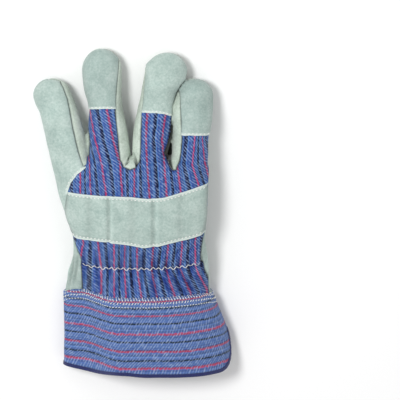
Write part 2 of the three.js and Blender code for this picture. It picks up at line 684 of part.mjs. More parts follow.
function meshOf(made, name) {
  const { vertProperties, triVerts } = made.getMesh();
  const geometry = new THREE.BufferGeometry();
  geometry.setAttribute('position', new THREE.BufferAttribute(vertProperties, 3));
  geometry.setIndex(new THREE.BufferAttribute(triVerts, 1));
  const look = new THREE.MeshStandardMaterial(MATERIALS[name] ?? LEATHER);
  const mesh = new THREE.Mesh(geometry, look);
  mesh.name = name;
  return mesh;
}

const pieces = {
  ...backPanels(),
  ...sideWalls(),
  ...palmPanels(),
  ...thumbPanels(),
  knuckle_strap: strap(),
  ...cuffPanels(),
};

const glove = new THREE.Group();
for (const [name, made] of Object.entries(pieces)) glove.add(meshOf(made, name));
const box = new THREE.Box3().setFromObject(glove);
const centre = box.getCenter(new THREE.Vector3());
glove.position.set(-centre.x, -centre.y, -box.min.z);

export default glove;
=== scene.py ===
# A leather docker glove for the right hand, lying on its palm with the thumb folded under it.
# The back is striped cotton twill. The palm, the thumb, the index finger, the fingertips, the
# finger side walls and the knuckle strap are split leather, and the cotton cuff is bound in navy.

import json
import math

import bpy
import numpy as np
from mathutils import Matrix, Vector, kdtree, noise
from mathutils.bvhtree import BVHTree

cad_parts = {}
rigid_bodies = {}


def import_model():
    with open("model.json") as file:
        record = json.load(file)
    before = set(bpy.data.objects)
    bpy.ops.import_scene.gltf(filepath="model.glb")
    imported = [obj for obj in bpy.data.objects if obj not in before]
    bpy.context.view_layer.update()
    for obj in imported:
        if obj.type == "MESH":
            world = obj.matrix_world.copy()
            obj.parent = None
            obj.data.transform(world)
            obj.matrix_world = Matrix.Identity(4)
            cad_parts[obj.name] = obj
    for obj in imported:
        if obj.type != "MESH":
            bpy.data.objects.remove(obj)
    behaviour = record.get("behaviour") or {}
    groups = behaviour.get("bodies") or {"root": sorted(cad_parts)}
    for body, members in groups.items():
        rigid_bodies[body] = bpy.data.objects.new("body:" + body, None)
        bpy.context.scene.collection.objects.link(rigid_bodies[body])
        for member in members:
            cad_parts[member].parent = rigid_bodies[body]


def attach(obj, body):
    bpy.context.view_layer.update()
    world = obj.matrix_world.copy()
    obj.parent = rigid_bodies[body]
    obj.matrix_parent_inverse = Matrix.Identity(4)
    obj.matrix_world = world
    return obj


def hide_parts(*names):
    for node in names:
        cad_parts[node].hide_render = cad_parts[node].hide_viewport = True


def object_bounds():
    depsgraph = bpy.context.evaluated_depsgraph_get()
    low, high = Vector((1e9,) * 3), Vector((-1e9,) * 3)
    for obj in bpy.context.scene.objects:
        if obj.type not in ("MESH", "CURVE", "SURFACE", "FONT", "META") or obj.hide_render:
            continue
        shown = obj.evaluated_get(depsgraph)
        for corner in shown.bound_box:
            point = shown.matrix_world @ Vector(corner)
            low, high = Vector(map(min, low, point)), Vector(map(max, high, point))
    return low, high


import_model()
cad_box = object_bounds()


# The form of the glove as it lies empty: the hand and its four fingers as one closed skin.
# Every panel is cut out of it, as a glover cuts along the seams of a toile. Millimetres from
# the middle of the wrist elastic, +Y to the fingertips and +X to the little finger.

# That middle, in metres from the lowest corner of the solids.
WRIST = Vector((cad_box[0].x + 0.0825012, cad_box[0].y + 0.0899, cad_box[0].z + 0.0007))
TO_FRAME = Matrix.Translation(WRIST) @ Matrix.Scale(0.001, 4)

FLOOR = -0.7  # the surface that the glove lies on
KNUCKLE_END = 91.4  # where the hand ends between the fingers
KNUCKLE_ROUND = 12  # over how far it thins towards that end
END_SHARE = 0.2  # the part of its thickness that is left there
SIDE_FULL, CREST_FULL, BELLY_FULL = 0.92, 0.9, 0.7  # powers: under 1 is fuller than an ellipse
SHELF_SPAN = (-0.8, -0.3)  # where the pressed side ends, in half widths from the middle
HAND_POINTS = 200  # round one section of the hand
FORM_STEP = 2.0  # from one section of the form to the next
FORM_GRAIN = 0.00078  # metres between the points of the finished skin
CAP_DEGREES = (0, 12, 24, 36, 47, 57, 66, 74, 81, 86)  # the sections of a finger's round end

# The hand by its sections: the edges, the underside, the height of the widest place, the top,
# and how far the thumb side is pressed flat.
HAND = {
    "y": [-40, -24, -12, 0, 12, 24, 44, 62, 79, 95],
    "left": [-60, -58.2, -56, -53.6, -52, -52, -57.6, -62.8, -66.4, -67.6],
    "right": [62, 57.6, 56.6, 55.4, 54.8, 53.8, 55.6, 56.2, 57, 57],
    "low": [0, 2.4, 6.5, 10.5, 13.5, 15.6, 17.4, 17.2, 14.8, 12.5],
    "mid": [9.5, 11.5, 17.5, 22, 25, 27, 29, 29.5, 28, 26],
    "high": [43, 41.5, 41, 39.5, 44, 47, 49, 47.6, 44.4, 40],
    "shelf": [0.74, 0.66, 0.4, 0.12, 0, 0, 0, 0, 0, 0],
}

# Each finger by its tip, the length of its round end to half its width, and its sections: centre
# line, width, height of the middle and thickness. The seam of its back panel is measured across
# from the centre line.
FINGERS = {
    "index": {
        "tip": 149.6,
        "round": 0.88,
        "y": [52, 68, 84, 98, 116, 129, 137, 145, 153],
        "x": [-45, -49.2, -52.9, -55, -60.1, -64, -67.8, -70, -71.4],
        "wide": [17, 27, 29.4, 32, 30.6, 29.2, 30.6, 31.2, 31],
        "mid": [31, 28.6, 26.6, 23.4, 18.8, 14.4, 11.8, 10.8, 10.2],
        "high": [17, 23, 26.5, 26, 25, 25, 24.8, 24, 23],
        "seam": [5, 8, 10.4, 8.5, 9.3, 10.9, 13, 11.8, 7],
    },
    "middle": {
        "tip": 174.4,
        "round": 1.12,
        "y": [52, 70, 88, 107, 120, 131, 145, 161, 177],
        "x": [-22, -22.4, -22.6, -23.6, -24.3, -24.8, -27.1, -27.9, -28],
        "wide": [20, 31.4, 34, 32.6, 28.6, 26, 30, 31.6, 30.6],
        "mid": [33, 29.4, 26.2, 22, 19, 16.8, 14.2, 11.1, 10],
        "high": [19, 25.6, 27, 26, 24.6, 24.4, 24.6, 24.4, 22.6],
        "seam": [6, 8.8, 9.1, 8.8, 8.1, 7.8, 11, 13.4, 13.4],
    },
    "ring": {
        "tip": 171.4,
        "round": 1.1,
        "y": [52, 70, 92, 107, 121, 132, 144, 157, 174],
        "x": [9.5, 10, 9.9, 11.6, 13.5, 15.4, 17.8, 22.7, 24],
        "wide": [19, 27.4, 27.6, 30.6, 29, 27.3, 27.8, 35.2, 34],
        "mid": [33, 29.4, 25.4, 22, 19, 16.8, 14.4, 11.6, 10.4],
        "high": [19, 25.6, 27, 26, 25, 24.6, 25, 25.4, 23.6],
        "seam": [-5, -7.4, -7.6, -9.1, -10.6, -11.2, -12.7, -16.3, -17.6],
    },
    "small": {
        "tip": 149.9,
        "round": 0.9,
        "y": [52, 68, 88, 107, 121, 138, 152],
        "x": [40, 41.4, 41.7, 42.2, 43.3, 45.5, 46.6],
        "wide": [17, 26, 28.6, 28.8, 32, 29.4, 28.4],
        "mid": [31, 28.4, 26.2, 22.4, 18.6, 12.2, 10.2],
        "high": [17, 22, 26.5, 25.2, 24.6, 24.6, 22.6],
        "seam": [-5, -8, -8.2, -7, -8.6, -11.8, -14],
    },
}


def along(table, column, y):
    """A column of a table at places along the glove, with smooth slopes through its rows."""
    ys, values = np.array(table["y"], float), np.array(table[column], float)
    row = np.arange(len(ys))
    before, after = np.maximum(row - 1, 0), np.minimum(row + 1, len(ys) - 1)
    slopes = (values[after] - values[before]) / (ys[after] - ys[before])
    i = np.clip(np.searchsorted(ys, y), 1, len(ys) - 1)
    step = ys[i] - ys[i - 1]
    t = np.clip((y - ys[i - 1]) / step, 0, 1)
    ease = t * t * (3 - 2 * t)
    lead = t * (1 - t) ** 2 * slopes[i - 1] * step
    trail = t * t * (1 - t) * slopes[i] * step
    return values[i - 1] * (1 - ease) + values[i] * ease + lead - trail


def smoothstep(value, low, high):
    t = np.clip((value - low) / (high - low), 0, 1)
    return t * t * (3 - 2 * t)


def signed_power(value, power):
    return np.sign(value) * np.abs(value) ** power


def section_point(table, y, angle):
    """Points of the hand or the cuff in their own section. The angle goes round from the little
    finger's edge, over the back and then under the palm."""
    left, right = along(table, "left", y), along(table, "right", y)
    low, mid, high = along(table, "low", y), along(table, "mid", y), along(table, "high", y)
    over = np.clip((y - KNUCKLE_END + KNUCKLE_ROUND) / KNUCKLE_ROUND, 0, 1)
    keep = np.sqrt(1 - over**2) * (1 - END_SHARE) + END_SHARE
    across = signed_power(np.cos(angle), SIDE_FULL)
    up = np.sin(angle)
    crest = (high - mid) * keep * np.abs(up) ** CREST_FULL
    crest = crest * (1 - along(table, "shelf", y) * (1 - smoothstep(across, *SHELF_SPAN)))
    belly = (mid - low) * keep * np.abs(up) ** BELLY_FULL
    x = (right + left) / 2 + ((right - left) / 2 - (1 - keep) * KNUCKLE_ROUND) * across
    return x, mid + np.where(up < 0, -belly, crest)


def finger_section(finger, y, scale, power, points=72):
    """One section of a finger, square to its centre line."""
    lean = math.atan2(along(finger, "x", y + 1) - along(finger, "x", y - 1), 2)
    angles = (np.arange(points) + 0.5) / points * 2 * math.pi
    side = signed_power(np.cos(angles), power) * along(finger, "wide", y) / 2 * scale
    lift = signed_power(np.sin(angles), power) * along(finger, "high", y) / 2 * scale
    x = along(finger, "x", y) + side * math.cos(lean)
    z = np.maximum(along(finger, "mid", y) + lift, FLOOR)
    return np.stack([x, y - side * math.sin(lean), z], axis=-1)


def finger_sections(finger, power=0.9, thinner=0.0):
    """A finger's sections up to its round tip."""
    radius = along(finger, "wide", finger["tip"]) / 2
    straight = finger["tip"] - radius * finger["round"]
    sections = []
    for y in np.arange(finger["y"][0], straight, FORM_STEP):
        scale = 1 - 2 * thinner / along(finger, "wide", y)
        sections.append(finger_section(finger, y, scale, power))
    for degrees in CAP_DEGREES:
        turn = math.radians(degrees)
        y = straight + (radius - thinner) * finger["round"] * math.sin(turn)
        sections.append(finger_section(finger, y, math.cos(turn) * (1 - thinner / radius), power))
    return sections


def pick_only(*pieces):
    bpy.ops.object.select_all(action="DESELECT")
    for piece in pieces:
        piece.select_set(True)
    bpy.context.view_layer.objects.active = pieces[0]


def face_outwards(piece):
    pick_only(piece)
    bpy.ops.object.mode_set(mode="EDIT")
    bpy.ops.mesh.select_all(action="SELECT")
    bpy.ops.mesh.normals_make_consistent(inside=False)
    bpy.ops.object.mode_set(mode="OBJECT")


def grid_faces(rows, columns, wrap_rows=False, wrap_columns=False):
    """Four-sided faces for a grid of points that is stored row by row."""
    faces = []
    for r in range(rows if wrap_rows else rows - 1):
        for c in range(columns if wrap_columns else columns - 1):
            d, s = (c + 1) % columns, (r + 1) % rows
            faces.append((r * columns + c, r * columns + d, s * columns + d, s * columns + c))
    return faces


def tube_faces(rings, count):
    """The faces of a tube of rings of points, with both its ends closed."""
    first, last = range(count), range((rings - 1) * count, rings * count)
    return [list(first)[::-1], *grid_faces(rings, count, wrap_columns=True), list(last)]


def new_shape(name, points, faces, place=Matrix.Identity(4)):
    """An object from points in millimetres from the wrist, with its faces outwards."""
    mesh = bpy.data.meshes.new(name)
    mesh.from_pydata([tuple(p) for p in points], [], faces)
    mesh.transform(TO_FRAME @ place)
    made = bpy.data.objects.new(name, mesh)
    bpy.context.scene.collection.objects.link(made)
    face_outwards(made)
    return made


def loft(name, sections, place=Matrix.Identity(4)):
    """A closed skin through sections that have the same number of points."""
    faces = tube_faces(len(sections), len(sections[0]))
    return new_shape(name, np.concatenate(sections), faces, place)


def modify(piece, kind, **settings):
    """Adds a modifier with its settings and applies it."""
    pick_only(piece)
    modifier = piece.modifiers.new(kind, kind)
    for key, value in settings.items():
        setattr(modifier, key, value)
    bpy.ops.object.modifier_apply(modifier=modifier.name)


def fuse(name, forms, softening):
    """Closed forms as one skin of even grain, with the hollows between them softened."""
    pick_only(*forms)
    if len(forms) > 1:
        bpy.ops.object.join()
    made = bpy.context.object
    made.name = name
    modify(made, "REMESH", mode="VOXEL", voxel_size=FORM_GRAIN)
    modify(made, "SMOOTH", factor=0.6, iterations=softening)
    return made


def read_points(piece):
    """The points of a mesh in millimetres from the wrist, and their normals."""
    count = len(piece.data.vertices)
    places, normals = np.empty(count * 3, np.float32), np.empty(count * 3, np.float32)
    piece.data.vertices.foreach_get("co", places)
    piece.data.vertex_normals.foreach_get("vector", normals)
    return (places.reshape(-1, 3) - np.array(WRIST)) * 1000, normals.reshape(-1, 3)


def write_points(piece, points):
    places = (points / 1000 + np.array(WRIST)).astype(np.float32)
    piece.data.vertices.foreach_set("co", places.ravel())
    piece.data.update()


def ripple(points, size, seed):
    """Smooth noise from -1 to 1, its waves a size in millimetres apart."""
    shift = Vector((seed * 7.3, seed * 3.1, seed * 5.7))
    return np.array([noise.noise(Vector(p) / size + shift) for p in points.tolist()])


hand_angles = np.arange(HAND_POINTS) / HAND_POINTS * 2 * math.pi
hand_sections = []
for y in np.arange(-36, KNUCKLE_END, FORM_STEP):
    x, z = section_point(HAND, y, hand_angles)
    hand_sections.append(np.stack([x, np.full(HAND_POINTS, y), np.maximum(z, 0)], axis=-1))
hand_form = loft("hand_form", hand_sections)
finger_forms = [loft("finger_form", finger_sections(finger)) for finger in FINGERS.values()]

# Between the ring and the little finger, deep down, the side walls touch as far as this web.
WEB_PLACE = (26.2, 98, 17)
WEB_REACH = (4.6, 17, 3.6)
bpy.ops.object.select_all(action="DESELECT")
bpy.ops.mesh.primitive_uv_sphere_add(segments=32, ring_count=16, radius=1)
web = bpy.context.object
web.name = "web_form"
web.data.transform(TO_FRAME @ Matrix.Translation(WEB_PLACE) @ Matrix.Diagonal((*WEB_REACH, 1)))
glove_form = fuse("glove_form", [hand_form, *finger_forms, web], softening=8)


# The folds of the skin. The wrist elastic draws the back of the wrist into gathers, and the
# cotton and the leather fall into softer folds and hollows over the rest.

GATHER_PITCH = 9.4  # from one gather to the next
GATHER_REACH = 12  # how far they run from the elastic
GATHER_HEIGHT, GATHER_LEVEL = 3.8, 0.66  # the second is the part below the plain cloth
ELASTIC_DEPTH, ELASTIC_REACH = 1.6, 1.9  # how far the elastic itself is drawn in
PALM_PITCH, PALM_HEIGHT, PALM_REACH = 8.2, 0.8, 15  # the same of the gathers under the wrist
HAND_WAVES = ((0.45, 17, 1), (0.22, 7, 2))  # soft unevenness: its heights, sizes and seeds
SIDE_LINE = {
    "y": [-40, -12, 24, 62, 88, 120, 140, 160, 200],
    "z": [12, 20, 28, 31, 26.5, 18, 11.5, 9.6, 9.4],
}  # the height of the seam along each side, where the back meets the palm

# Deeper folds: where each is, how it leans, its depth, its width and its reach along the hand.
FOLDS = [
    (31.5, -12, -0.55, 3.6, 2.0, 12),
    (22, -11, -0.6, 2.8, 1.7, 10),
    (39.5, -12, -0.62, 2.8, 1.8, 10),
    (47, -9, -0.6, 2.0, 1.9, 8),
    (12, -13, -0.35, 2.2, 1.6, 10),
    (-3, -13, -0.1, 1.2, 1.6, 9),
    (-17, -13, 0.05, 1.3, 1.6, 9),
    (-31, -12, 0.08, 1.3, 1.6, 8),
    (-53.5, -8, 0.14, 1.4, 1.3, 16),
    (-49.5, -4, 0.12, 1.3, 1.3, 14),
    (-56.5, -14, 0.16, 0.9, 1.2, 10),
    (40, 11, 0.5, 1.8, 1.7, 9),
    (30, 11, 0.55, 1.4, 1.6, 8),
    (18, 10, 0.35, 1.4, 1.6, 8),
    (4, 10, 0.1, 1.1, 1.5, 8),
    (-10, 11, -0.05, 1.2, 1.5, 8),
    (-24, 11, 0.0, 1.3, 1.5, 8),
    (-37, 11, 0.1, 1.0, 1.5, 8),
    (30, 74, -0.5, 1.2, 1.8, 7),
    (-6.2, 90.8, 0.9, 3.4, 0.8, 3.4),
    (-1.6, 90.4, -0.45, 3.4, 0.8, 3.4),
]

# The crevice between the ring and the little finger, where the cloth is drawn in, is painted dark as
# painted shade. How deep down a point lies, with that painted crevice shade, is kept as the
# attribute hollow, and the materials darken by it as painted shade.
CREVICE = [(27.4, 83.6), (25, 90), (23.4, 96.5), (24.2, 103), (26.4, 110), (27, 115)]
CREVICE_DARK = 5  # as deep as a fold of so many millimetres
CREVICE_HALF, CREVICE_WIDER = 1.1, 1.6  # half its width, and how much wider it is at its middle
CREVICE_MIDDLE, CREVICE_SPREAD = 97, 9  # where that is along the glove, and how far it reaches
CREVICE_FOOT, CREVICE_FOOT_HALF = 27, 4  # below this height it is dark to a greater width


def distance_to(points, line):
    """How far points lie from a line that is drawn through a list of places, seen from above."""
    nearest = np.full(len(points), np.inf)
    for (ax, ay), (bx, by) in zip(line, line[1:]):
        a, b = np.array([ax, ay]), np.array([bx, by])
        t = np.clip((points[:, :2] - a) @ (b - a) / ((b - a) @ (b - a)), 0, 1)
        gap = np.linalg.norm(points[:, :2] - a - t[:, None] * (b - a), axis=1)
        nearest = np.minimum(nearest, gap)
    return nearest


def keep_values(piece, name, values, domain="POINT"):
    """Keeps a number for each point or face of a piece, as an attribute."""
    kept = piece.data.attributes.get(name) or piece.data.attributes.new(name, "FLOAT", domain)
    kept.data.foreach_set("value", np.asarray(values, np.float32))


def soft_waves(points, waves):
    """Soft unevenness from waves of several sizes, each with its height and seed."""
    return sum(height * ripple(points, size, seed) for height, size, seed in waves)


def raise_skin(form, relief):
    """Moves a form's points out by a relief, but not under the floor. Its faces are all skin,
    which tells them from those that the cutting boards leave."""
    points, normals = read_points(form)
    points += normals * relief[:, None]
    points[:, 2] = np.maximum(points[:, 2], FLOOR)
    write_points(form, points)
    keep_values(form, "skin", np.ones(len(form.data.polygons)), "FACE")


points, normals = read_points(glove_form)
x, y, z = points.T
on_back = smoothstep(z - along(SIDE_LINE, "z", y), -2, 5)
facing_up = smoothstep(normals[:, 2], 0.05, 0.4)
cloth = smoothstep(x, -47, -43) * (1 - smoothstep(x, 51, 55))
sway = 0.08 * np.sin(x * 0.09)  # the gathers aren't evenly spaced
wave = np.abs(np.cos(math.pi * (x / GATHER_PITCH + sway))) ** 0.9
pull = np.exp(-((y / GATHER_REACH) ** 2)) * on_back * cloth
relief = GATHER_HEIGHT * pull * (wave - GATHER_LEVEL)
relief -= ELASTIC_DEPTH * np.exp(-((y / ELASTIC_REACH) ** 2)) * on_back * cloth
for fold_x, fold_y, lean, depth, width, reach in FOLDS:
    across = (x - fold_x - lean * (y - fold_y)) / width
    relief -= depth * np.exp(-(across**2) - ((y - fold_y) / reach) ** 4) * facing_up
relief += soft_waves(points, HAND_WAVES)
under_wrist = np.exp(-(((y - 2) / PALM_REACH) ** 2)) * (1 - on_back)
sway = 0.3 * np.sin(x * 0.13)
relief += under_wrist * PALM_HEIGHT * np.cos(2 * math.pi * (x / PALM_PITCH + sway))
crevice = distance_to(points, CREVICE)
half = CREVICE_HALF + CREVICE_WIDER * np.exp(-(((y - CREVICE_MIDDLE) / CREVICE_SPREAD) ** 2))
dark = CREVICE_DARK * np.exp(-((crevice / half) ** 4))
foot = smoothstep(CREVICE_FOOT - z, 0, CREVICE_FOOT_HALF)
dark += CREVICE_DARK * np.exp(-((crevice / CREVICE_FOOT_HALF) ** 4)) * foot
# painted shade: the depth in the folds plus the crevice's painted dark, except on faces that look
# down
depth = np.clip(-relief, -1, 3) + dark * smoothstep(normals[:, 2], -0.6, -0.2)
raise_skin(glove_form, relief)
keep_values(glove_form, "hollow", depth)


# The seams, drawn as the edges of tall cutting boards that are seen from above, and as one
# line along each side. Panels that are sewn together share an edge, turned down into the seam.

BOARD_ENDS = (-20, 80)  # the foot and the top of a cutting board
BLOCK_ENDS = (-130, 130)  # the two sides of a cutting block
SEAM_END = -30  # the hand's panels end here, under the cuff
COTTON_LEFT = [
    (-40.2, 85.4), (-47.4, 80), (-52.6, 72.8), (-55.2, 64.4), (-57.6, 48), (-52.6, 25),
    (-48.5, 15), (-45, 6), (-44.5, -6), (-44.8, -30),
]
COTTON_RIGHT = [
    (59.5, -30), (58, -16), (53.5, -3), (50.8, 4), (50.6, 10), (51.4, 18), (52.6, 25), (54.4, 32),
    (62, 42), (64, 90),
]
INDEX_MIDDLE_GAP = [
    (-39.6, 86), (-38.6, 94), (-38.4, 102), (-38.8, 108), (-40.4, 114), (-43, 128), (-46, 145),
    (-50, 165), (-54, 195),
]
RING_SMALL_GAP = [
    (24.8, 92), (24.4, 98), (25.6, 104), (27.2, 111), (28, 118), (29, 131), (31, 139),
    (32.4, 143.4), (34.4, 147), (37.6, 150), (41.4, 154), (44, 170), (46, 195),
]
RING_EDGE = [
    (23.6, 91), (22.0, 96), (24.3, 101.6), (26.3, 108.5), (26.7, 114), (26.9, 121), (27.8, 131),
    (30.8, 139), *RING_SMALL_GAP[7:],
]  # the ring finger's back panels end here, short of the gap


def finger_line(name, places, column=None):
    """A line along a finger, at its centre or at a column's distance from it."""
    finger = FINGERS[name]
    offsets = [float(along(finger, column, y)) if column else 0 for y in places]
    return [(float(along(finger, "x", y)) + d, y) for y, d in zip(places, offsets)]


def upright(name, profile, ends, stand, place=Matrix.Identity(4)):
    """A closed block with the same profile from one end to the other."""
    points = [stand(u, v, end) for end in ends for u, v in profile]
    return new_shape(name, points, tube_faces(len(ends), len(profile)), place)


def board(outline):
    """A cutting board that stands on an outline seen from above."""
    return upright("board", outline, BOARD_ENDS, lambda x, y, z: (x, y, z))


def block_above(line, drop, place=Matrix.Identity(4)):
    """Everything over a line that is drawn along the glove, seen from the side."""
    profile = [(y, z - drop) for y, z in zip(line["y"], line["z"])]
    profile += [(line["y"][-1], BOARD_ENDS[1]), (line["y"][0], BOARD_ENDS[1])]
    return upright("block", profile, BLOCK_ENDS, lambda y, z, x: (x, y, z), place)


def cut(form, name, keep=(), drop=()):
    """A copy of a form that is cut by boards: kept inside some, and dropped inside others."""
    made = form.copy()
    made.data = form.data.copy()
    made.name = name
    bpy.context.scene.collection.objects.link(made)
    for operation, tools in (("INTERSECT", keep), ("DIFFERENCE", drop)):
        for tool in tools:
            modify(made, "BOOLEAN", operation=operation, object=tool, solver="MANIFOLD")
    return made


back_outline = [
    *COTTON_LEFT[::-1],
    *INDEX_MIDDLE_GAP[1:],
    *finger_line("middle", [177, 161, 145, 131, 120, 107, 97], "seam"),
    (-13, 90.4), (-10.4, 86.4), (-5.6, 84.4), (-1, 86), (1.6, 90.4),
    *finger_line("ring", [97, 107, 121, 132, 144, 157, 174], "seam"),
    *RING_EDGE[::-1],
    (26, 86), (28.4, 83.6), (31, 84), (33, 90),
    *finger_line("small", [96, 107, 121, 138], "seam"),
    (32.5, 143.5), (34.5, 147), (37.7, 150), (41.5, 154), (44.1, 170), (76, 165), (76, 110),
    *COTTON_RIGHT[::-1],
]
index_outline = [
    (-100, 46.4), (-100, 170), (-72, 170),
    *finger_line("index", [151, 145, 137, 129, 116, 98, 86], "seam"),
    *COTTON_LEFT[:5], (-58, 46.4),
]
wrist_board = board([(-130, SEAM_END), (130, SEAM_END), (130, 210), (-130, 210)])
side_block = block_above(SIDE_LINE, 0)
small_side = board([(26.4, 60), *RING_SMALL_GAP, (120, 195), (120, 60)])
glove_skin = cut(glove_form, "glove_skin", keep=[wrist_board])
back_zone = cut(board(back_outline), "back_zone", keep=[side_block])
index_zone = cut(board(index_outline), "index_zone", keep=[side_block])


# The back of the glove: one panel of striped cotton twill, cut along its stripes, with the lower
# backs of three fingers in one piece. It is sewn into the side seams and runs on under the
# fingertips' hems and the index finger's. Its stripes are pulled about by the wrist elastic.

CLOTH_WALL = 1.5  # its thickness
WELD = 0.0002  # metres: points of a cut sheet that are closer are one
SCRAP_SHARE = 0.08  # a cut-off sheet that is smaller than this part of the largest is a scrap
STEADY = 0.7  # cosine of how far a border's normal may turn from its neighbour's
END_LAP = 1.5  # a border this near to the hand's end, under the cuff, stays as it was cut
HEM_LAP = 1.6  # how far the cloth runs on under a leather hem
HEMS = {
    "middle": (128, 130.9, 128),
    "ring": (126.6, 127.6, 122.4),
    "small": (109.2, 110.2, 108.6),
}  # where the fingertip leather ends, at the left, the middle and the right of a finger
HEM_HALF = 14  # half the width across a finger that those three are given for
HEM_PARTS = (-1.7, -1, -0.5, 0, 0.5, 1, 1.2)  # the points of a hem, in those half widths
STRIPE_REPEAT = 12.6  # millimetres of cloth from one red stripe to the next

# Where the red stripes lie across the hand, at places along it.
STRIPES = {
    -22: [-66, -48, -29, -18.7, -9.3, 3, 15.2, 29.4, 42.2, 55.2, 66],
    0: [-60, -47, -28.6, -18.7, -10.7, -0.3, 11, 22.4, 33.6, 46, 56],
    22: [-55.6, -43, -31.2, -18.4, -10, -0.4, 12.8, 24.4, 35.4, 45.8, 56],
    69: [-58.4, -44.8, -37.2, -25.2, -12, -2.4, 9.2, 23.2, 34, 49, 58],
    88: [-58.6, -44.6, -37.8, -28.3, -13.4, -2, 7.8, 21.5, 31.2, 43.5, 53.5],
    107: [-60, -49, -42, -33.6, -19, -6, 6.9, 19.6, 32.6, 45.6, 51.4],
    129: [-62, -52, -46, -38.2, -23.8, -8, 8.2, 22.8, 35, 46.6, 53],
}


def peel(piece, least_share=SCRAP_SHARE):
    """Leaves the skin of a cut form, without the faces that the boards gave it and the scraps."""
    name = piece.name
    is_skin = np.empty(len(piece.data.polygons), np.float32)
    piece.data.attributes["skin"].data.foreach_get("value", is_skin)
    pick_only(piece)
    bpy.ops.object.mode_set(mode="EDIT")
    bpy.ops.mesh.select_mode(type="FACE")
    bpy.ops.mesh.select_all(action="DESELECT")
    bpy.ops.object.mode_set(mode="OBJECT")
    piece.data.polygons.foreach_set("select", is_skin < 0.5)
    bpy.ops.object.mode_set(mode="EDIT")
    bpy.ops.mesh.delete(type="FACE")
    bpy.ops.mesh.select_all(action="SELECT")
    bpy.ops.mesh.remove_doubles(threshold=WELD)
    bpy.ops.mesh.separate(type="LOOSE")
    bpy.ops.object.mode_set(mode="OBJECT")
    sheets = sorted(bpy.context.selected_objects, key=lambda sheet: -len(sheet.data.polygons))
    least = len(sheets[0].data.polygons) * least_share
    kept = [sheet for sheet in sheets if len(sheet.data.polygons) >= least]
    for scrap in sheets[len(kept):]:
        bpy.data.objects.remove(scrap)
    pick_only(*kept)
    if len(kept) > 1:
        bpy.ops.object.join()
    kept[0].name = name
    return kept[0]


def nearest_of(places):
    """A tree that finds the nearest of some places."""
    tree = kdtree.KDTree(len(places))
    for i, p in enumerate(places.tolist()):
        tree.insert(p, i)
    tree.balance()
    return tree


def read_sheet(piece):
    """The points of a sheet, their normals, and which points are on its border. A border point
    whose normal a sliver of a face has turned takes that of the nearest point further in."""
    points, normals = read_points(piece)
    edges = np.empty(len(piece.data.edges) * 2, np.int32)
    piece.data.edges.foreach_get("vertices", edges)
    corners = np.empty(len(piece.data.loops), np.int32)
    piece.data.loops.foreach_get("edge_index", corners)
    rim = np.bincount(corners, minlength=len(piece.data.edges)) == 1
    border = np.unique(edges.reshape(-1, 2)[rim])
    inside = np.setdiff1d(np.arange(len(points)), border)
    tree = nearest_of(points[inside])
    for i in border:
        further_in = normals[inside[tree.find(points[i])[1]]]
        if normals[i] @ further_in < STEADY:
            normals[i] = further_in
    return points, normals, border


def turn_edges(piece, free=None, depth=1.3, reach=2.6):
    """Turns a panel's sewn edges down into their seams. An edge that is free says where it is
    not sewn: it stays, and is kept as the attribute hem, as the sewn ones are as seam."""
    points, normals, border = read_sheet(piece)
    loose = free(points[border]) if free else np.zeros(len(border), bool)
    for name, chosen in (("seam", border[~loose]), ("hem", border[loose])):
        near = np.zeros(len(points))
        if len(chosen):
            tree = nearest_of(points[chosen])
            gap = np.array([tree.find(p)[2] for p in points.tolist()])
            near = np.clip(1 - gap / reach, 0, 1)
        # seam is the mask of the painted shade along the seams; hem marks the raw cut edges, which
        # are paler
        keep_values(piece, name, near)
        if name == "seam":
            points = points - normals * (depth * (1 - np.sqrt(1 - near**2)))[:, None]
    write_points(piece, points)


def dress(piece, material, node=None):
    """Gives a closed shape its finish and its place in the model."""
    pick_only(piece)
    bpy.ops.object.shade_smooth()
    piece.data.materials.clear()
    piece.data.materials.append(material)
    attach(piece, "root")
    if node:
        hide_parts(node)


def finish_panel(piece, material, node, thickness):
    """Gives a sheet its thickness, with the outer face where the sheet is, and dresses it."""
    points, normals, _ = read_sheet(piece)
    modify(piece, "SOLIDIFY", thickness=thickness / 1000, offset=-1, use_rim=True)
    write_points(piece, np.concatenate([points, points - normals * thickness]))
    dress(piece, material, node)


def hem_middle(name):
    """Where the middle of a finger's hem is across the glove."""
    return float(along(FINGERS[name], "x", HEMS[name][1]))


def hem_y(name, t):
    """Where a finger's hem is along the glove, at t half widths from its middle."""
    left, middle, right = HEMS[name]
    return middle - np.where(np.less(t, 0), middle - left, middle - right) * t * t


def hem_board(name, back):
    """Everything past a finger's hem, moved back along the finger by a distance, on its own side
    of the gap between the ring and the little finger."""
    centre, beyond = hem_middle(name), FINGERS[name]["tip"] + 8
    line = [(centre + HEM_HALF * t, hem_y(name, t) - back) for t in HEM_PARTS]
    whole = board([*line, (centre + 30, beyond), (centre - 24, beyond)])
    if name == "small":
        return cut(whole, "hem_board", keep=[small_side])
    return cut(whole, "hem_board", drop=[small_side])


def lay_cloth(piece, across, down):
    """Keeps where each point lies on the cloth, in metres, as the UV map cloth."""
    loops = np.empty(len(piece.data.loops), np.int32)
    piece.data.loops.foreach_get("vertex_index", loops)
    layer = piece.data.uv_layers.new(name="cloth")
    flat = np.stack([across, down], axis=-1)[loops] / 1000
    layer.data.foreach_set("uv", flat.astype(np.float32).ravel())


def paint(code):
    """An sRGB hex colour as linear light."""
    parts = [int(code[i : i + 2], 16) / 255 for i in (0, 2, 4)]
    return [c / 12.92 if c <= 0.04045 else ((c + 0.055) / 1.055) ** 2.4 for c in parts] + [1]


def feed(material, inputs, node=None):
    """Gives the inputs of a node, or else of the shader, their values or their links."""
    node = node or material.node_tree.nodes["Principled BSDF"]
    for key, value in inputs.items():
        if isinstance(value, bpy.types.NodeSocket):
            material.node_tree.links.new(value, node.inputs[key])
        else:
            node.inputs[key].default_value = value


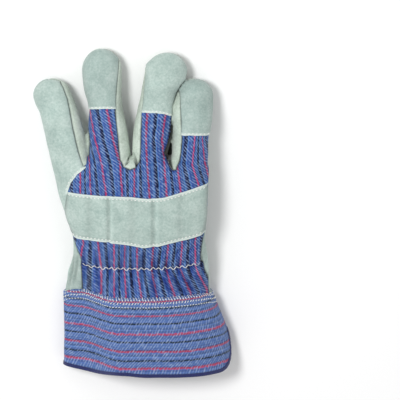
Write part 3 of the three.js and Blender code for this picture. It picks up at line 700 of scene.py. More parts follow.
def add_node(material, kind, inputs, output=0, stops=(), **settings):
    """Adds a node with its settings and links, and gives one of its outputs. A colour ramp also
    has stops, each a place and a hex colour."""
    node = material.node_tree.nodes.new("ShaderNode" + kind)
    for key, value in settings.items():
        setattr(node, key, value)
    feed(material, inputs, node)
    for i, (place, code) in enumerate(stops):
        elements = node.color_ramp.elements
        element = elements[i] if i < 2 else elements.new(place)
        element.position, element.color = place, paint(code)
    return node.outputs[output]


def new_material(name, roughness, sheen):
    """A material of cloth or leather, whose shine is low and the same all over."""
    material = bpy.data.materials.new(name)
    material.use_nodes = True
    feed(material, {"Roughness": roughness, "Specular IOR Level": 0.25,
                    "Sheen Weight": sheen, "Sheen Roughness": 0.5})
    return material


# Cotton twill, yarn dyed and woven 3/1, its ribs up to 1.9 mm apart, which is coarser than the
# real 0.8 mm so that the slant still shows. The pale weft comes up between coloured warps: the
# eye gets a matte blue, broken by fine pale dashes that slant, most of all over the dark stripes.
# Down in the folds and the crevice it is painted a deeper blue, and next to its seams a dark navy:
# both are painted shade.

# Noise scales are waves to the metre. A stripe's edge wanders 0.8 mm either way in waves of 4 mm,
# slubs are 1.4 mm apart, and the warp's shade changes every 1.6 mm.
WANDER_SCALE, WANDER_REACH = 260, 0.0016
SLUB_SCALE = 720
YARN_SCALE = 640
YARN_SHADES = (0.62, 1.36)  # the darkest and the lightest yarn, against the dyed colour
SLUB_WEIGHT = 8  # how much of the weft's dashes is slub, against one part rib
WEFT_RISE = (3.9, 5.7)  # from none of the weft showing to the most
# the next span sets how deep the painted shade in the folds reaches
HOLLOW_TWILL = (-0.6, 2.4)  # millimetres: from no shade to the deepest
TWILL_BUMP = 0.00025  # metres


def striped_twill(name, rib, warp, weft, weft_share):
    material = new_material(name, roughness=0.9, sheen=0.1)
    place = add_node(material, "UVMap", {}, uv_map="cloth")
    over = add_node(material, "SeparateXYZ", {"Vector": place})
    wander = add_node(material, "TexNoise", {"Vector": place, "Scale": WANDER_SCALE, "Detail": 3})
    drift = add_node(material, "Math", {0: wander, 1: WANDER_REACH, 2: -WANDER_REACH / 2},
                     operation="MULTIPLY_ADD")
    moved = add_node(material, "Math", {0: over, 1: drift}, operation="ADD")
    repeat = add_node(material, "Math", {0: moved, 1: 1000 / STRIPE_REPEAT}, operation="MULTIPLY")
    stripe = add_node(material, "Math", {0: repeat}, operation="FRACT")
    slanted = add_node(material, "Mapping", {
        "Vector": place, "Rotation": (0, 0, math.pi / 4), "Scale": (1, 3, 1),
    }, vector_type="TEXTURE")
    slub = add_node(material, "TexNoise", {
        "Vector": slanted, "Scale": SLUB_SCALE, "Detail": 2, "Roughness": 0.6,
    })
    across = add_node(material, "SeparateXYZ", {"Vector": slanted})
    ribs = add_node(material, "Math", {0: across, 1: 2000 * math.pi / rib}, operation="MULTIPLY")
    ridge = add_node(material, "Math", {0: ribs}, operation="SINE")
    uneven = add_node(material, "Math", {0: slub, 1: SLUB_WEIGHT, 2: ridge},
                      operation="MULTIPLY_ADD")
    rise = add_node(material, "MapRange", {
        "Value": uneven, "From Min": WEFT_RISE[0], "From Max": WEFT_RISE[1], "To Max": weft_share,
    })
    yarn = add_node(material, "TexNoise", {
        "W": over, "Scale": YARN_SCALE, "Detail": 3, "Roughness": 0.7,
    }, noise_dimensions="1D")
    shade = add_node(material, "MapRange", {
        "Value": yarn, "From Min": 0.3, "From Max": 0.7,
        "To Min": YARN_SHADES[0], "To Max": YARN_SHADES[1],
    })
    # Painted shade: a deeper blue multiplied in down in the folds and the crevice.
    hollow = add_node(material, "Attribute", {}, "Fac", attribute_name="hollow")
    hollow_shade = add_node(material, "MapRange", {
        "Value": hollow, "From Min": HOLLOW_TWILL[0], "From Max": HOLLOW_TWILL[1],
    })
    # Painted shade: a dark navy mixed in next to the seams.
    seam = add_node(material, "Attribute", {}, "Fac", attribute_name="seam")
    seam_shade = add_node(material, "Math", {0: seam, 1: 0.45}, operation="MULTIPLY")
    tone = add_node(material, "ValToRGB", {"Fac": stripe}, stops=warp)
    for factor, colour, blend in (
        (1.0, shade, "MULTIPLY"), (rise, paint(weft), "MIX"),
        (hollow_shade, paint("93a7d8"), "MULTIPLY"), (seam_shade, paint("1b2142"), "MIX"),
    ):
        tone = add_node(material, "Mix", {"Factor": factor, "A": tone, "B": colour}, "Result",
                        data_type="RGBA", blend_type=blend)
    grain = add_node(material, "Math", {0: ridge, 1: slub}, operation="ADD")
    bump = add_node(material, "Bump", {"Height": grain, "Strength": 0.5, "Distance": TWILL_BUMP})
    feed(material, {"Base Color": tone, "Normal": bump})
    return material


hand_twill = striped_twill(
    "striped_cotton_twill",
    rib=1.9,
    warp=[(0, "a83660"), (0.04, "a83660"), (0.07, "2e4280"), (0.2, "345694"), (0.3, "4a76ac"),
          (0.36, "263c74"), (0.41, "08163c"), (0.54, "08163c"), (0.59, "4a76ac"),
          (0.67, "2e4a8e"), (0.8, "3c62a2"), (0.93, "2c3c7c"), (0.96, "a83660"), (1, "a83660")],
    weft="a0b6d8",
    weft_share=0.62,
)

cotton_outline = [(x - 1.3, y + 1.3) for x, y in COTTON_LEFT[:4]] + COTTON_LEFT[4:]
cotton_board = board([*cotton_outline[::-1], *back_outline[len(COTTON_LEFT):]])
hem_covers = [hem_board(name, -HEM_LAP) for name in HEMS]
cotton_back = peel(cut(glove_skin, "back_of_striped_cotton", [cotton_board, side_block], hem_covers))


def cotton_is_free(points):
    """The cloth's edges under the leather hems, and in the cuff."""
    x, y, _ = points.T
    under_index = distance_to(points, cotton_outline[:5]) < 1.2
    free = (y < SEAM_END + END_LAP) | (under_index & (y > 60))
    for name, (left, _, right) in HEMS.items():
        at_finger = np.abs(x - hem_middle(name)) < 18
        free |= at_finger & (y > min(left, right) + HEM_LAP - 0.8)
    return free


turn_edges(cotton_back, cotton_is_free)
points, _ = read_points(cotton_back)
x, y, _ = points.T
rows = np.array(list(STRIPES))
reds = np.stack([np.interp(y, rows, column) for column in np.array(list(STRIPES.values())).T], 1)
last = np.clip((reds < x[:, None]).sum(axis=1), 1, reds.shape[1] - 1)
pick = np.arange(len(x))
before, after = reds[pick, last - 1], reds[pick, last]
stripe = last - 1 + (x - before) / (after - before)
lay_cloth(cotton_back, stripe * STRIPE_REPEAT, y)
finish_panel(cotton_back, hand_twill, "cotton_back", CLOTH_WALL)


# The fingertips: a leather cap for the back of the middle, the ring and the little finger.
# Each is split leather, laid over the end of the cotton and topstitched to it at its raw edge,
# and sewn into the finger's side seams inside out.

LEATHER_WALL = 1.7  # its thickness, as for the cloth
TIP_LAP = 0.9  # how far the leather stands over the cotton at its hem
TIP_EASE = 0.5  # how much of that it loses towards the tip


# Split cowhide, sueded on both faces and dyed a pale grey green. Its nap lies in all directions, so
# it is dead matte, with faint cloudy patches and a fibre grain of 1 to 2 mm. Down in the seams, the
# folds and the crevice it is painted darker, as painted shade, and it is paler at the cut edges,
# where the fibres are raw.

CLOUD_SCALE = 75  # waves to the metre: patches 13 mm across
FIBRE_SCALE = 560  # and fibres 1.8 mm apart
FIBRE_WEIGHT = 1.5  # how much of the colour is fibre, against one part cloud
SUEDE_SPREAD = (0.85, 1.65)  # from the deepest to the palest tone
# the next span is that of the painted shade in the folds, the strap's creases and the crevice
HOLLOW_SUEDE = (-0.6, 4.2)  # millimetres: from the open leather to the bottom of a deep fold
SUEDE_BUMP = 0.0007  # metres


def suede(name, deep, body, pale, raw):
    material = new_material(name, roughness=0.97, sheen=0.25)
    place = add_node(material, "TexCoord", {}, "Object")
    cloud = add_node(material, "TexNoise", {
        "Vector": place, "Scale": CLOUD_SCALE, "Detail": 4, "Roughness": 0.6,
    })
    fibre = add_node(material, "TexNoise", {
        "Vector": place, "Scale": FIBRE_SCALE, "Detail": 4, "Roughness": 0.75,
    })
    mottle = add_node(material, "Math", {0: fibre, 1: FIBRE_WEIGHT, 2: cloud},
                      operation="MULTIPLY_ADD")
    spread = add_node(material, "MapRange", {
        "Value": mottle, "From Min": SUEDE_SPREAD[0], "From Max": SUEDE_SPREAD[1],
    })
    # Painted shade: a dark grey green mixed in next to the seams.
    seam = add_node(material, "Attribute", {}, "Fac", attribute_name="seam")
    shade = add_node(material, "MapRange", {
        "Value": seam, "From Min": 0.55, "From Max": 1, "To Max": 0.7,
    })
    # Painted shade: darker down in the folds, the strap's creases and the crevice, near black at the
    # deepest.
    hollow = add_node(material, "Attribute", {}, "Fac", attribute_name="hollow")
    hollow_shade = add_node(material, "MapRange", {
        "Value": hollow, "From Min": HOLLOW_SUEDE[0], "From Max": HOLLOW_SUEDE[1],
        "To Min": 1.05, "To Max": 0.06,
    })
    hem = add_node(material, "Attribute", {}, "Fac", attribute_name="hem")
    frayed = add_node(material, "MapRange", {
        "Value": hem, "From Min": 0.1, "From Max": 0.8, "To Max": 0.75,
    })
    tone = add_node(material, "ValToRGB", {"Fac": spread}, stops=[(0, deep), (0.5, body), (1, pale)])
    for factor, colour, blend in (
        (shade, paint("4c5a58"), "MIX"), (1.0, hollow_shade, "MULTIPLY"), (frayed, paint(raw), "MIX"),
    ):
        tone = add_node(material, "Mix", {"Factor": factor, "A": tone, "B": colour}, "Result",
                        data_type="RGBA", blend_type=blend)
    nap = add_node(material, "Math", {0: fibre, 1: cloud}, operation="ADD")
    bump = add_node(material, "Bump", {"Height": nap, "Strength": 0.5, "Distance": SUEDE_BUMP})
    feed(material, {"Base Color": tone, "Normal": bump})
    return material


split_leather = suede("split_leather", "95aba5", "adc0b9", "c4d3cd", "dae5df")
grey_split = suede("split_leather_grey", "8fa39e", "a2b5af", "b8c6c1", "dae5df")
pale_split = suede("split_leather_pale", "a9b6a8", "bccabe", "d0dbd0", "dfe6dc")


def lift(piece, height):
    """Moves a sheet out along its normals by a height for each of its points."""
    points, normals, _ = read_sheet(piece)
    write_points(piece, points + normals * np.broadcast_to(height(points), len(points))[:, None])


def hem_distance(name, points):
    """How far points lie past a finger's hem, towards the tip."""
    t = (points[:, 0] - hem_middle(name)) / HEM_HALF
    return points[:, 1] - hem_y(name, t)


for name in HEMS:
    tools = [back_zone, hem_board(name, 0)]
    tip = peel(cut(glove_skin, f"fingertip_{name}", tools), least_share=1)
    turn_edges(tip, lambda points: hem_distance(name, points) < 0.9)
    lift(tip, lambda points: TIP_LAP - TIP_EASE * smoothstep(hem_distance(name, points), 1.5, 9))
    finish_panel(tip, split_leather if name == "ring" else grey_split,
                 f"tip_{name}", LEATHER_WALL)


# The back of the index finger: split leather from the tip down to a raw edge that is laid over
# the cotton and stitched down. It runs on beside the knuckle strap, down to the palm leather.

INDEX_HEM_END = 85  # past this its edge is sewn into the side wall, and no longer a hem
INDEX_LAP, INDEX_LAP_REACH = 0.95, 7  # how far it stands over the cotton, and how far in

index_back = peel(cut(glove_skin, "back_of_index_finger", [index_zone], [back_zone]))
index_hem = COTTON_LEFT[:4]


def index_is_free(points):
    """The raw edge that is laid over the cotton."""
    return (distance_to(points, index_hem) < 0.7) & (points[:, 1] < INDEX_HEM_END)


turn_edges(index_back, index_is_free)
lift(index_back, lambda points: INDEX_LAP * np.exp(
    -((distance_to(points, index_hem) / INDEX_LAP_REACH) ** 2)))
finish_panel(index_back, split_leather, "index_back", LEATHER_WALL)


# The finger side walls: three strips of paler split leather, each sewn down the side of one
# finger, round the crotch and up the side of the next, so that the fingers have depth.

FRONT_BAND = 8  # how far a side wall reaches down from the back panels

over_band = block_above(SIDE_LINE, FRONT_BAND)
centre_lines = {}
for name in FINGERS:
    places = [84, 98, 116, 137, FINGERS[name]["tip"] - 4]
    centre_lines[name] = finger_line(name, places)
wall_boards = {
    "fourchette_index_middle": board([
        (-44, 82), *centre_lines["index"], (-70, 171), (-28.6, 195),
        *centre_lines["middle"][::-1], (-34, 82),
    ]),
    "fourchette_middle_ring": board([
        (-20, 82), *centre_lines["middle"], (-28, 195), (24, 192),
        *centre_lines["ring"][::-1], (8, 82),
    ]),
    "fourchette_ring_small": board([
        (14, 82), *centre_lines["ring"], (24, 192), (47, 170.6),
        *centre_lines["small"][::-1], (38, 82),
    ]),
}
under_back = cut(glove_skin, "under_back", drop=[back_zone, index_zone])
wall_zones = {}
for node, wall_board in wall_boards.items():
    wall_zones[node] = cut(wall_board, "wall_zone", keep=[over_band])
for node, zone in wall_zones.items():
    wall = peel(cut(under_back, node.replace("fourchette", "side_wall"), keep=[zone]))
    turn_edges(wall, reach=2.2)
    finish_panel(wall, pale_split, node, LEATHER_WALL)


# The palm side: one large piece of split leather with the fronts of the index and the little
# finger, and a second piece with the fronts of the two middle fingers, seamed across their base.

THUMB = {
    "tip": 88,
    "round": 1,
    "y": [0, 10, 20, 32, 46, 66, 88],
    "x": [0] * 7,
    "wide": [22, 35, 42, 43.5, 41.5, 38, 35],
    "mid": [25, 18.6, 12.4, 8.2, 6.9, 6.5, 6.3],
    "high": [10, 14, 16, 16.6, 15.8, 15.4, 15],
}
THUMB_POWER = 0.72  # how full its sections are, as for the hand
THUMB_PLACE = Matrix.Translation((-46.5, 22, 0)) @ Matrix.Rotation(math.radians(27 - 90), 4, "Z")

under = cut(under_back, "under", drop=list(wall_zones.values()))
fronts_board = board([
    (-39, 84), (-22, 80.6), (-6, 79.6), (12, 80.6), (26, 84),
    *RING_SMALL_GAP, *INDEX_MIDDLE_GAP[1:][::-1],
])
thumb_hollow = loft("thumb_hollow", finger_sections(THUMB, THUMB_POWER, LEATHER_WALL), THUMB_PLACE)
finger_fronts = peel(cut(under, "fronts_of_middle_fingers", keep=[fronts_board]))
palm = peel(cut(under, "palm_leather", drop=[fronts_board, thumb_hollow]))
turn_edges(finger_fronts)
turn_edges(palm, lambda points: points[:, 1] < SEAM_END + END_LAP)
finish_panel(finger_fronts, split_leather, "finger_fronts", LEATHER_WALL)
finish_panel(palm, split_leather, "palm", LEATHER_WALL)


# The thumb: a wing thumb of two pieces of split leather, seamed round its edge, set into the
# palm. It lies folded across under the hand, pressed flat by the glove's own weight.

THUMB_WAVES = ((0.4, 14, 4), (0.2, 6, 5))  # its soft unevenness, as for the hand

thumb = loft("thumb", finger_sections(THUMB, THUMB_POWER), THUMB_PLACE)
thumb_form = fuse("thumb_form", [thumb], softening=8)
raise_skin(thumb_form, soft_waves(read_points(thumb_form)[0], THUMB_WAVES))
thumb_line = {"y": [-30, *THUMB["y"], 110], "z": [44, *THUMB["mid"], THUMB["mid"][-1]]}
thumb_block = block_above(thumb_line, 0, THUMB_PLACE)
thumb_back = peel(cut(thumb_form, "thumb_upper_leather", [thumb_block], [glove_form]))
thumb_front = peel(cut(thumb_form, "thumb_lower_leather", drop=[glove_form, thumb_block]))
for half, node in ((thumb_back, "thumb_back"), (thumb_front, "thumb_front")):
    turn_edges(half)
    finish_panel(half, split_leather, node, LEATHER_WALL)


# The knuckle strap: a band of split leather laid over the knuckles, topstitched along both
# raw edges, its ends caught in the side seams.

STRAP_WALL = 1.6
STRAP_LIFT = 2.0  # its face over the cotton
STRAP_EDGE, STRAP_EDGE_TOP = 0.5, 33  # the same in the side seams, and how high those are
STITCH_INSET = 1.9  # from a raw edge to its row of stitches
STITCH_PULL, STITCH_SPREAD = 0.35, 0.9  # how far that row draws the leather in, and how wide
STRAP_TOP = [
    (-55.4, 65.2), (-30, 64), (-8, 63.6), (9, 62), (21, 62.6), (36, 66.2), (48, 69.4), (66, 71.5),
]
STRAP_BOTTOM = [
    (66, 31.5), (54, 29.7), (30, 25.6), (17, 22.8), (4, 21.5), (-8, 24), (-24, 26), (-41, 26.4),
    (-52.6, 26.4), (-56, 37), (-57.9, 48),
]
STRAP_CREASES = [
    (-22.6, 1.1, 1.5), (-20, -0.5, 1.8), (12.6, 0.9, 1.8), (15.8, -0.4, 2), (-38, 0.5, 2.5),
    (-4, 0.4, 3), (34, 0.5, 3),
]  # across the strap: where each is, how deep, and its width

strap_block = block_above(SIDE_LINE, -2)
strap_board = board(STRAP_TOP + STRAP_BOTTOM)
strap = peel(cut(glove_skin, "knuckle_strap_leather", [strap_board, strap_block]))
strap_edges = (STRAP_TOP, STRAP_BOTTOM[:9])
strap_end = [STRAP_TOP[0], *STRAP_BOTTOM[:7:-1]]


def on_strap_edge(points):
    """How far points lie from the nearer of the strap's two raw edges."""
    return np.minimum(*(distance_to(points, line) for line in strap_edges))


def strap_height(points):
    """How far the strap's face stands over the glove's skin. It is thinner where it goes into
    the side seams, at its left end and below the edge of the hand at its right."""
    x, _, z = points.T
    inward = np.minimum(distance_to(points, strap_end), (z - STRAP_EDGE_TOP) * 0.8)
    height = STRAP_EDGE + (STRAP_LIFT - STRAP_EDGE) * smoothstep(inward, 0, 4)
    for crease, depth, width in STRAP_CREASES:
        height = height - depth * np.exp(-(((x - crease) / width) ** 2))
    sewn = on_strap_edge(points) - STITCH_INSET
    height = height - STITCH_PULL * np.exp(-((sewn / STITCH_SPREAD) ** 2))
    return height + 0.25 * ripple(points, 11, 7)


turn_edges(strap, lambda points: on_strap_edge(points) < 0.6, depth=0.9)
# Painted shade: the strap is darker where its face is drawn in, in its creases, along its stitch
# rows and towards its ends.
creased = STRAP_LIFT - strap_height(read_points(strap)[0])
keep_values(strap, "hollow", np.clip(creased, -1, 2))
lift(strap, strap_height)
finish_panel(strap, split_leather, "knuckle_strap", STRAP_WALL)


# The cuff: one layer of the same striped twill with its stripes running round the arm, sewn to
# the wrist. It lies flat at the thumb side, stands open below, and is slit up the little
# finger side.

CUFF_WALL = 1.6
CUFF_TOP, CUFF_SEAM, CUFF_END = -23.2, -24, -89.9  # its top, its seam and its bound edge
CUFF_STEP = 1.5  # how far its top stands outside the wrist
CUFF_BLEND = 14  # from its seam to where it has left the wrist's form for its own
CUFF_GIRTH = 12.0  # how far in from its bound edge its girth is measured
CUFF_ROWS = 46  # of points, from its top to its tape
CUFF_GRAIN = 1.4  # from one column of points to the next
SIDE_DROP, SIDE_REACH = 5.0, 0.4  # how far its top dips at the flattened sides, and how widely
TAPE_WIDTH, TAPE_LAP = 3.2, 0.6  # and how far the cloth runs in under the tape
NOTCH_DEPTH, NOTCH_CORNER, NOTCH_SLIT = 29, 25, 0.5  # the side opening, its slit by its half
NOTCH_POINTS = 28  # round each of its corners
CUFF_WAVE, CUFF_CREASE = 0.9, 0.5  # the heights of its long waves and of its short ones
CUFF_MIDDLE = (6, 16)  # x and z of what its waves stand away from
CUFF = {
    "y": [-90, -62, -40, -24],
    "left": [-59.8, -60, -60, -59.6],
    "right": [78, 72.6, 64.4, 59],
    "low": [-2, -2, -1.5, 0],
    "mid": [11, 11, 11, 10.5],
    "high": [45, 45, 44, 43],
    "shelf": [0.58, 0.62, 0.63, 0.62],
}
CUFF_SAGS = [(-37, 14, 2.6), (-12, 13, -2)]  # where its edge hangs lower, how far, by how much
CUFF_STRIPES = [-94, -81.4, -75.5, -67.5, -59.6, -53.2, -44, -37.7, -31.5, -25.9, -19.5]


def surface_point(table, y, angle, grow):
    """Points at a distance from the surface of the hand or the cuff, which is found to face
    away from its points a small turn to either side."""
    turn = 0.02
    ax, az = section_point(table, y, angle - turn)
    bx, bz = section_point(table, y, angle + turn)
    x, z = section_point(table, y, angle)
    length = np.hypot(bx - ax, bz - az)
    x, z = x + (bz - az) / length * grow, z + (ax - bx) / length * grow
    return np.stack([x, np.broadcast_to(y, x.shape), np.maximum(z, -grow)], axis=-1)


def cuff_point(angle, y, grow):
    """Points of the cuff. Next to its seam it follows the wrist, a step outside it."""
    share = smoothstep(-np.asarray(y, float), -CUFF_SEAM, -CUFF_SEAM + CUFF_BLEND)[..., None]
    wrist = surface_point(HAND, y, angle, grow + CUFF_STEP)
    return wrist * (1 - share) + surface_point(CUFF, y, angle, grow) * share


ring_angles = np.linspace(0, 2 * math.pi, 721)
ring = cuff_point(ring_angles, np.full(len(ring_angles), CUFF_END + CUFF_GIRTH), 0)
ring_lengths = np.concatenate([[0], np.cumsum(np.linalg.norm(np.diff(ring, axis=0), axis=1))])
cuff_round = ring_lengths[-1]


def angle_at(s):
    """The angle at a length round the cuff, from its side opening."""
    return np.interp(np.mod(s, cuff_round), ring_lengths, ring_angles)


def edge_columns():
    """Places along the cuff's bound edge, once round it, and the way into the cloth there: the
    length round the cuff from its side opening, y, and the two parts of the direction."""
    apex = CUFF_END + NOTCH_DEPTH
    corner = []
    for turn in np.radians([45, 0]):
        corner.append((NOTCH_SLIT * math.cos(turn), apex + NOTCH_SLIT * math.sin(turn),
                       math.cos(turn), math.sin(turn)))
    for turn in np.radians(np.linspace(3, 90, NOTCH_POINTS)):
        corner.append((NOTCH_SLIT + NOTCH_CORNER * (1 - math.cos(turn)),
                       CUFF_END + NOTCH_DEPTH * (1 - math.sin(turn)),
                       math.cos(turn), math.sin(turn)))
    start, end = NOTCH_SLIT + NOTCH_CORNER, cuff_round - NOTCH_SLIT - NOTCH_CORNER
    plain = [(s, CUFF_END, 0, 1) for s in np.linspace(start, end, int((end - start) / CUFF_GRAIN))]
    mirrored = [(cuff_round - s, y, -ds, dy) for s, y, ds, dy in corner[::-1]]
    return np.array([(0, apex + NOTCH_SLIT, 0, 1), *corner, *plain[1:-1], *mirrored])


def side_dip(angle):
    """How far the cuff's top dips at an angle round the arm."""
    return SIDE_DROP * np.exp(-((np.sin(angle) / SIDE_REACH) ** 2))


def waved(places):
    """Points of the cuff with the soft waves of its cloth, longest at its bound edge."""
    x, y, z = places.T
    wave = CUFF_WAVE * np.sin(x * 0.11 + y * 0.05 + 1.0) * smoothstep(-y, 30, 70)
    wave = wave + CUFF_CREASE * ripple(places, 16, 9)
    out = np.stack([(x - CUFF_MIDDLE[0]) * 0.12, np.zeros(len(x)), z - CUFF_MIDDLE[1]], axis=-1)
    out /= np.linalg.norm(out, axis=1)[:, None]
    moved = places + out * wave[:, None]
    moved[:, 2] = np.maximum(moved[:, 2], z.min())
    return moved


columns = edge_columns()
s, y_edge, ds, dy = columns.T
edge_x, _, edge_z = cuff_point(angle_at(s), y_edge, 0).T
for sag_x, reach, sag in CUFF_SAGS:
    y_edge = y_edge - sag * np.exp(-(((edge_x - sag_x) / reach) ** 2)) * smoothstep(edge_z, 11, 18)
cloth_y = y_edge + dy * (TAPE_WIDTH - TAPE_LAP)
cloth_angle = angle_at(s + ds * (TAPE_WIDTH - TAPE_LAP))
share = np.linspace(0, 1, CUFF_ROWS)[:, None]
top_y = CUFF_TOP - side_dip(cloth_angle)
row_y = top_y + (cloth_y - top_y) * share
cuff_places = cuff_point(np.broadcast_to(cloth_angle, row_y.shape), row_y, 0.0).reshape(-1, 3)
cuff_faces = grid_faces(CUFF_ROWS, len(columns), wrap_columns=True)
cuff = new_shape("cuff_of_striped_cotton", waved(cuff_places), cuff_faces)
cuff_stripe = np.interp(row_y.ravel(), CUFF_STRIPES, np.arange(len(CUFF_STRIPES)) / 2)
cuff_s = np.broadcast_to(s + ds * TAPE_WIDTH, row_y.shape).ravel()
lay_cloth(cuff, (cuff_stripe + 0.5) * STRIPE_REPEAT, cuff_s)
cuff_twill = striped_twill(
    "striped_cotton_twill_cuff",
    rib=1.72,
    warp=[(0, "a84260"), (0.04, "a84260"), (0.07, "4a6198"), (0.25, "5572a6"), (0.44, "506aa0"),
          (0.47, "20303e"), (0.53, "20303e"), (0.56, "506aa0"), (0.75, "5572a6"),
          (0.93, "4a6198"), (0.96, "a84260"), (1, "a84260")],
    weft="aabad6",
    weft_share=0.56,
)
finish_panel(cuff, cuff_twill, "cuff", CUFF_WALL)


# The binding: navy cotton tape folded over the cuff's raw edge and stitched through, all round
# the opening and up into the slit at the side.

# Bias-cut cotton tape, plain woven, its threads under half a millimetre but drawn 0.7 mm apart so
# that they show: a dense matte navy with a slight sheen on the fold.
tape_cotton = new_material("navy_bias_tape", roughness=0.75, sheen=0.3)
place = add_node(tape_cotton, "TexCoord", {}, "Object")
weave = add_node(tape_cotton, "TexNoise", {"Vector": place, "Scale": 1500, "Detail": 2})
tone = add_node(tape_cotton, "ValToRGB", {"Fac": weave}, stops=[(0.3, "1a2048"), (0.7, "282f68")])
bump = add_node(tape_cotton, "Bump", {"Height": weave, "Strength": 0.4, "Distance": 0.0003})
feed(tape_cotton, {"Base Color": tone, "Normal": bump})

TAPE_PUCKER = 0.12  # how far each stitch through the tape draws it in
TAPE_PROFILE = [
    (3.1, 0.1), (2.9, 0.5), (2.2, 0.62), (1.9, 0.5), (1.2, 0.68), (0.4, 0.5), (0.05, 0.0),
    (0, -0.9), (0.05, -1.8), (0.4, -2.3), (1.2, -2.5), (2.9, -2.3), (3.1, -1.8), (2.6, -0.9),
]  # round the tape: how far into the cloth, and how far out of it
tape_rings = []
for into, grow in TAPE_PROFILE:
    pucker = TAPE_PUCKER * np.sin(np.arange(len(columns)) * 1.9) * (1 if 0.3 < into < 2.7 else 0)
    height = np.clip(grow + np.sign(grow) * pucker, -2.5, 0.7)
    places = cuff_point(angle_at(s + ds * into), y_edge + dy * into, height)
    tape_rings.append(waved(places))
tape_faces = grid_faces(len(TAPE_PROFILE), len(columns), wrap_rows=True, wrap_columns=True)
binding = new_shape("cuff_edge_binding", np.concatenate(tape_rings), tape_faces)
dress(binding, tape_cotton, "cuff_binding")


# The sewing. White spun thread: a row of topstitching on each leather hem, the elastic's zigzag
# across the wrist, and the overcast seam that joins the cuff to the hand, with a row beside it.

# Spun polyester thread 0.5 mm thick, drawn at 0.7 so that it shows: off-white, soft, with a
# faint shine.
thread = new_material("white_sewing_thread", roughness=0.6, sheen=0.2)
place = add_node(thread, "TexCoord", {}, "Object")
ply = add_node(thread, "TexNoise", {"Vector": place, "Scale": 1800, "Detail": 1})
tone = add_node(thread, "ValToRGB", {"Fac": ply}, stops=[(0.3, "dcdcd8"), (0.7, "f6f6f2")])
feed(thread, {"Base Color": tone})

THREAD, FINE_THREAD = 0.7, 0.6  # as drawn: the second is the row beside the overcast seam
STITCH_PITCH, STITCH_LENGTH = 2.9, 1.5  # of the topstitching
HEM_INSET = 1.5  # from a fingertip's hem to its stitches
ZIGZAG_PITCH, ZIGZAG_REACH = 2.3, 1.35  # of the elastic's, and how far it goes to either side
OVERCAST_PITCH = 2.7  # round the cuff
ON_HAND, ON_CUFF = -1.2, 0.35  # how far such a stitch lies out of the cuff's face
STITCH_SIDES = 5
STITCH_RINGS = [
    (-1, 0.45, -0.35), (-0.7, 0.95, 0.1), (0, 1, 0.3), (0.7, 0.95, 0.1), (1, 0.45, -0.35),
]  # places along a stitch in half lengths, and how thick it is and how high it stands there


def resample(line, pitch):
    """Places at an even pitch along a line."""
    line = np.array(line, float)
    lengths = np.concatenate([[0], np.cumsum(np.linalg.norm(np.diff(line, axis=0), axis=1))])
    count = max(2, int(lengths[-1] / pitch) + 1)
    at = np.linspace(0, lengths[-1], count)
    return np.stack([np.interp(at, lengths, line[:, k]) for k in range(line.shape[1])], axis=-1)


def sew(name, stitches, thickness):
    """Each stitch is two ends and the normal of the cloth there. Its ends dip into the cloth."""
    points, faces = [], []
    for start, end, normal in stitches:
        start, end = np.array(start), np.array(end)
        run = (end - start) / 2
        side = np.cross(run, normal)
        side /= np.linalg.norm(side)
        up = np.cross(side, run)
        up /= np.linalg.norm(up)
        first = len(points)
        for t, size, rise in STITCH_RINGS:
            centre = (start + end) / 2 + run * t + up * rise * thickness
            for k in range(STITCH_SIDES):
                turn = 2 * math.pi * k / STITCH_SIDES
                rim = side * math.cos(turn) + up * math.sin(turn)
                place = centre + rim * size * thickness / 2
                points.append((place[0], place[1], max(place[2], FLOOR)))
        for face in tube_faces(len(STITCH_RINGS), STITCH_SIDES):
            faces.append([first + i for i in face])
    dress(new_shape(name, points, faces), thread)


def tree_of(piece):
    """The surface of a piece, for laying stitches on, in millimetres from the wrist."""
    faces = [list(face.vertices) for face in piece.data.polygons]
    return BVHTree.FromPolygons(read_points(piece)[0].tolist(), faces)


def drop_on(tree, x, y):
    """The highest place of a surface at x and y, and its normal."""
    place, normal, _, _ = tree.ray_cast(Vector((x, y, 90)), Vector((0, 0, -1)))
    if place is None:
        return None
    return np.array(place), np.array(normal if normal.z > 0 else -normal)


def lay_stitches(tree, line, pitch=STITCH_PITCH, zigzag=0.0):
    """Stitches laid on a surface along a line that is seen from above."""
    stitches = []
    places = resample(line, pitch)
    for i, (a, b) in enumerate(zip(places, places[1:])):
        if zigzag:
            aside = np.array([-(b - a)[1], (b - a)[0]]) / np.linalg.norm(b - a) * zigzag
            start, end = (a - aside, b + aside) if i % 2 else (a + aside, b - aside)
        else:
            middle, half = (a + b) / 2, (b - a) / 2 * STITCH_LENGTH / pitch
            start, end = middle - half, middle + half
        ends = [drop_on(tree, *start), drop_on(tree, *end)]
        if all(ends) and np.linalg.norm(ends[0][0] - ends[1][0]) < 5 * pitch:
            stitches.append((ends[0][0], ends[1][0], ends[0][1] + ends[1][1]))
    return stitches


hem_stitches = []
for name in HEMS:
    line = []
    for t in np.linspace(-1.1, 1.1, 15):
        line.append((hem_middle(name) + HEM_HALF * t, hem_y(name, t) + HEM_INSET))
    hem_stitches += lay_stitches(tree_of(bpy.data.objects[f"fingertip_{name}"]), line)
sew("hem_stitches_on_fingertips", hem_stitches, THREAD)
index_line = [(-43.4, 85.4), (-48.8, 81.4), (-54.3, 73.7), (-56.7, 65.9)]
sew("hem_stitches_on_index", lay_stitches(tree_of(index_back), index_line), THREAD)

strap_tree = tree_of(strap)
strap_stitches = []
for line, inset in zip(strap_edges, (-STITCH_INSET, STITCH_INSET)):
    strap_stitches += lay_stitches(strap_tree, [(x, y + inset) for x, y in line])
sew("strap_stitches", strap_stitches, THREAD)

elastic_line = [(-44, 1.5), (-30, 0.4), (2, 0.4), (30, 0.6), (49.4, 2.7)]
zigzag = lay_stitches(tree_of(cotton_back), elastic_line, ZIGZAG_PITCH, ZIGZAG_REACH)
sew("elastic_zigzag", zigzag, THREAD)


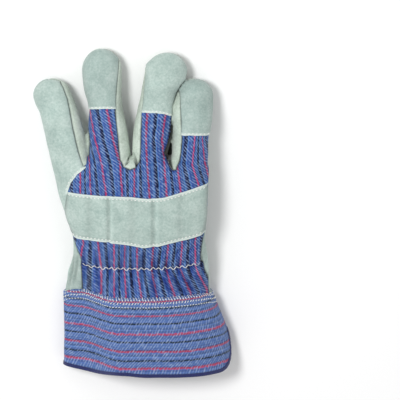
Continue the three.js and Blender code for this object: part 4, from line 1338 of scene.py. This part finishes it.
def cuff_stitches(y, rise, run, unevenness):
    """Stitches round the cuff's seam, from a line round the cloth, each with its rise and run."""
    stitches = []
    slack = np.random.default_rng(11)
    for at in np.arange(0, cuff_round, OVERCAST_PITCH):
        angles = np.array([angle_at(at), angle_at(at + run + slack.normal(0, unevenness))])
        dips = side_dip(angles)
        ends = np.array([y, y + rise]) + slack.normal(0, unevenness, 2) - dips
        over = np.where(ends > CUFF_TOP - dips, ON_HAND, ON_CUFF)
        places = cuff_point(angles, ends, over)
        start, end = waved(places)
        normal = cuff_point(angles[:1], ends[:1], ON_CUFF + 1)[0] - places[0]
        stitches.append((start, end, normal))
    return stitches


overcast = cuff_stitches(-25.1, rise=2.3, run=1.1, unevenness=0.3)
overcast += cuff_stitches(-28, rise=1.3, run=-1.4, unevenness=0.3)
sew("cuff_seam_overcast", overcast, THREAD)
topstitch = cuff_stitches(-30.5, rise=0.0, run=1.4, unevenness=0.1)
sew("cuff_seam_topstitch", topstitch, FINE_THREAD)


# The studio: a plain white floor, a soft white room and one large soft light from the upper
# left, as a catalogue picture is lit. The camera looks down from the fingertips' side, 18 degrees
# off straight, through a long lens. The forms and the cutting boards go first.

for scrap in [glove_form, glove_skin, thumb_form, thumb_hollow, under_back, under]:
    bpy.data.objects.remove(scrap)
for made in list(bpy.data.objects):
    if made.name.startswith(("board", "block", "wall_zone", "hem_board", "back_zone", "index_zone")):
        bpy.data.objects.remove(made)

bpy.ops.object.select_all(action="DESELECT")
bpy.ops.mesh.primitive_plane_add(size=6, location=(0, 0, 0))
floor = bpy.context.object
floor.name = "studio_floor"
floor_paint = new_material("white_studio_floor", roughness=0.9, sheen=0.0)
feed(floor_paint, {"Base Color": paint("f6f6f6")})
floor.data.materials.append(floor_paint)

world = bpy.data.worlds.new("soft_room")
world.use_nodes = True
room_light = world.node_tree.nodes["Background"]
room_light.inputs["Color"].default_value = (1, 1, 1, 1)
room_light.inputs["Strength"].default_value = 0.66
bpy.context.scene.world = world

key_light = bpy.data.lights.new("key_light", "AREA")
key_light.shape, key_light.size, key_light.energy = "DISK", 0.5, 20
lamp = bpy.data.objects.new("key_light", key_light)
lamp.location = (-0.6, 0.65, 1.6)
lamp.rotation_euler = (-lamp.location).to_track_quat("-Z", "Y").to_euler()
bpy.context.scene.collection.objects.link(lamp)

CAMERA_TILT = math.radians(18)
CAMERA_AWAY = 4  # metres from what it looks at
CAMERA_AIM = WRIST + Vector((0.0496, 0.04565, 0.00017))
camera_data = bpy.data.cameras.new("camera")
camera_data.sensor_width, camera_data.lens = 36, 450
camera = bpy.data.objects.new("camera", camera_data)
bpy.context.scene.collection.objects.link(camera)
towards_camera = Vector((0, math.sin(CAMERA_TILT), math.cos(CAMERA_TILT)))
camera.location = CAMERA_AIM + CAMERA_AWAY * towards_camera
camera.rotation_euler = (-CAMERA_TILT, 0, 0)
bpy.context.scene.camera = camera
bpy.context.scene.view_settings.view_transform = "Standard"
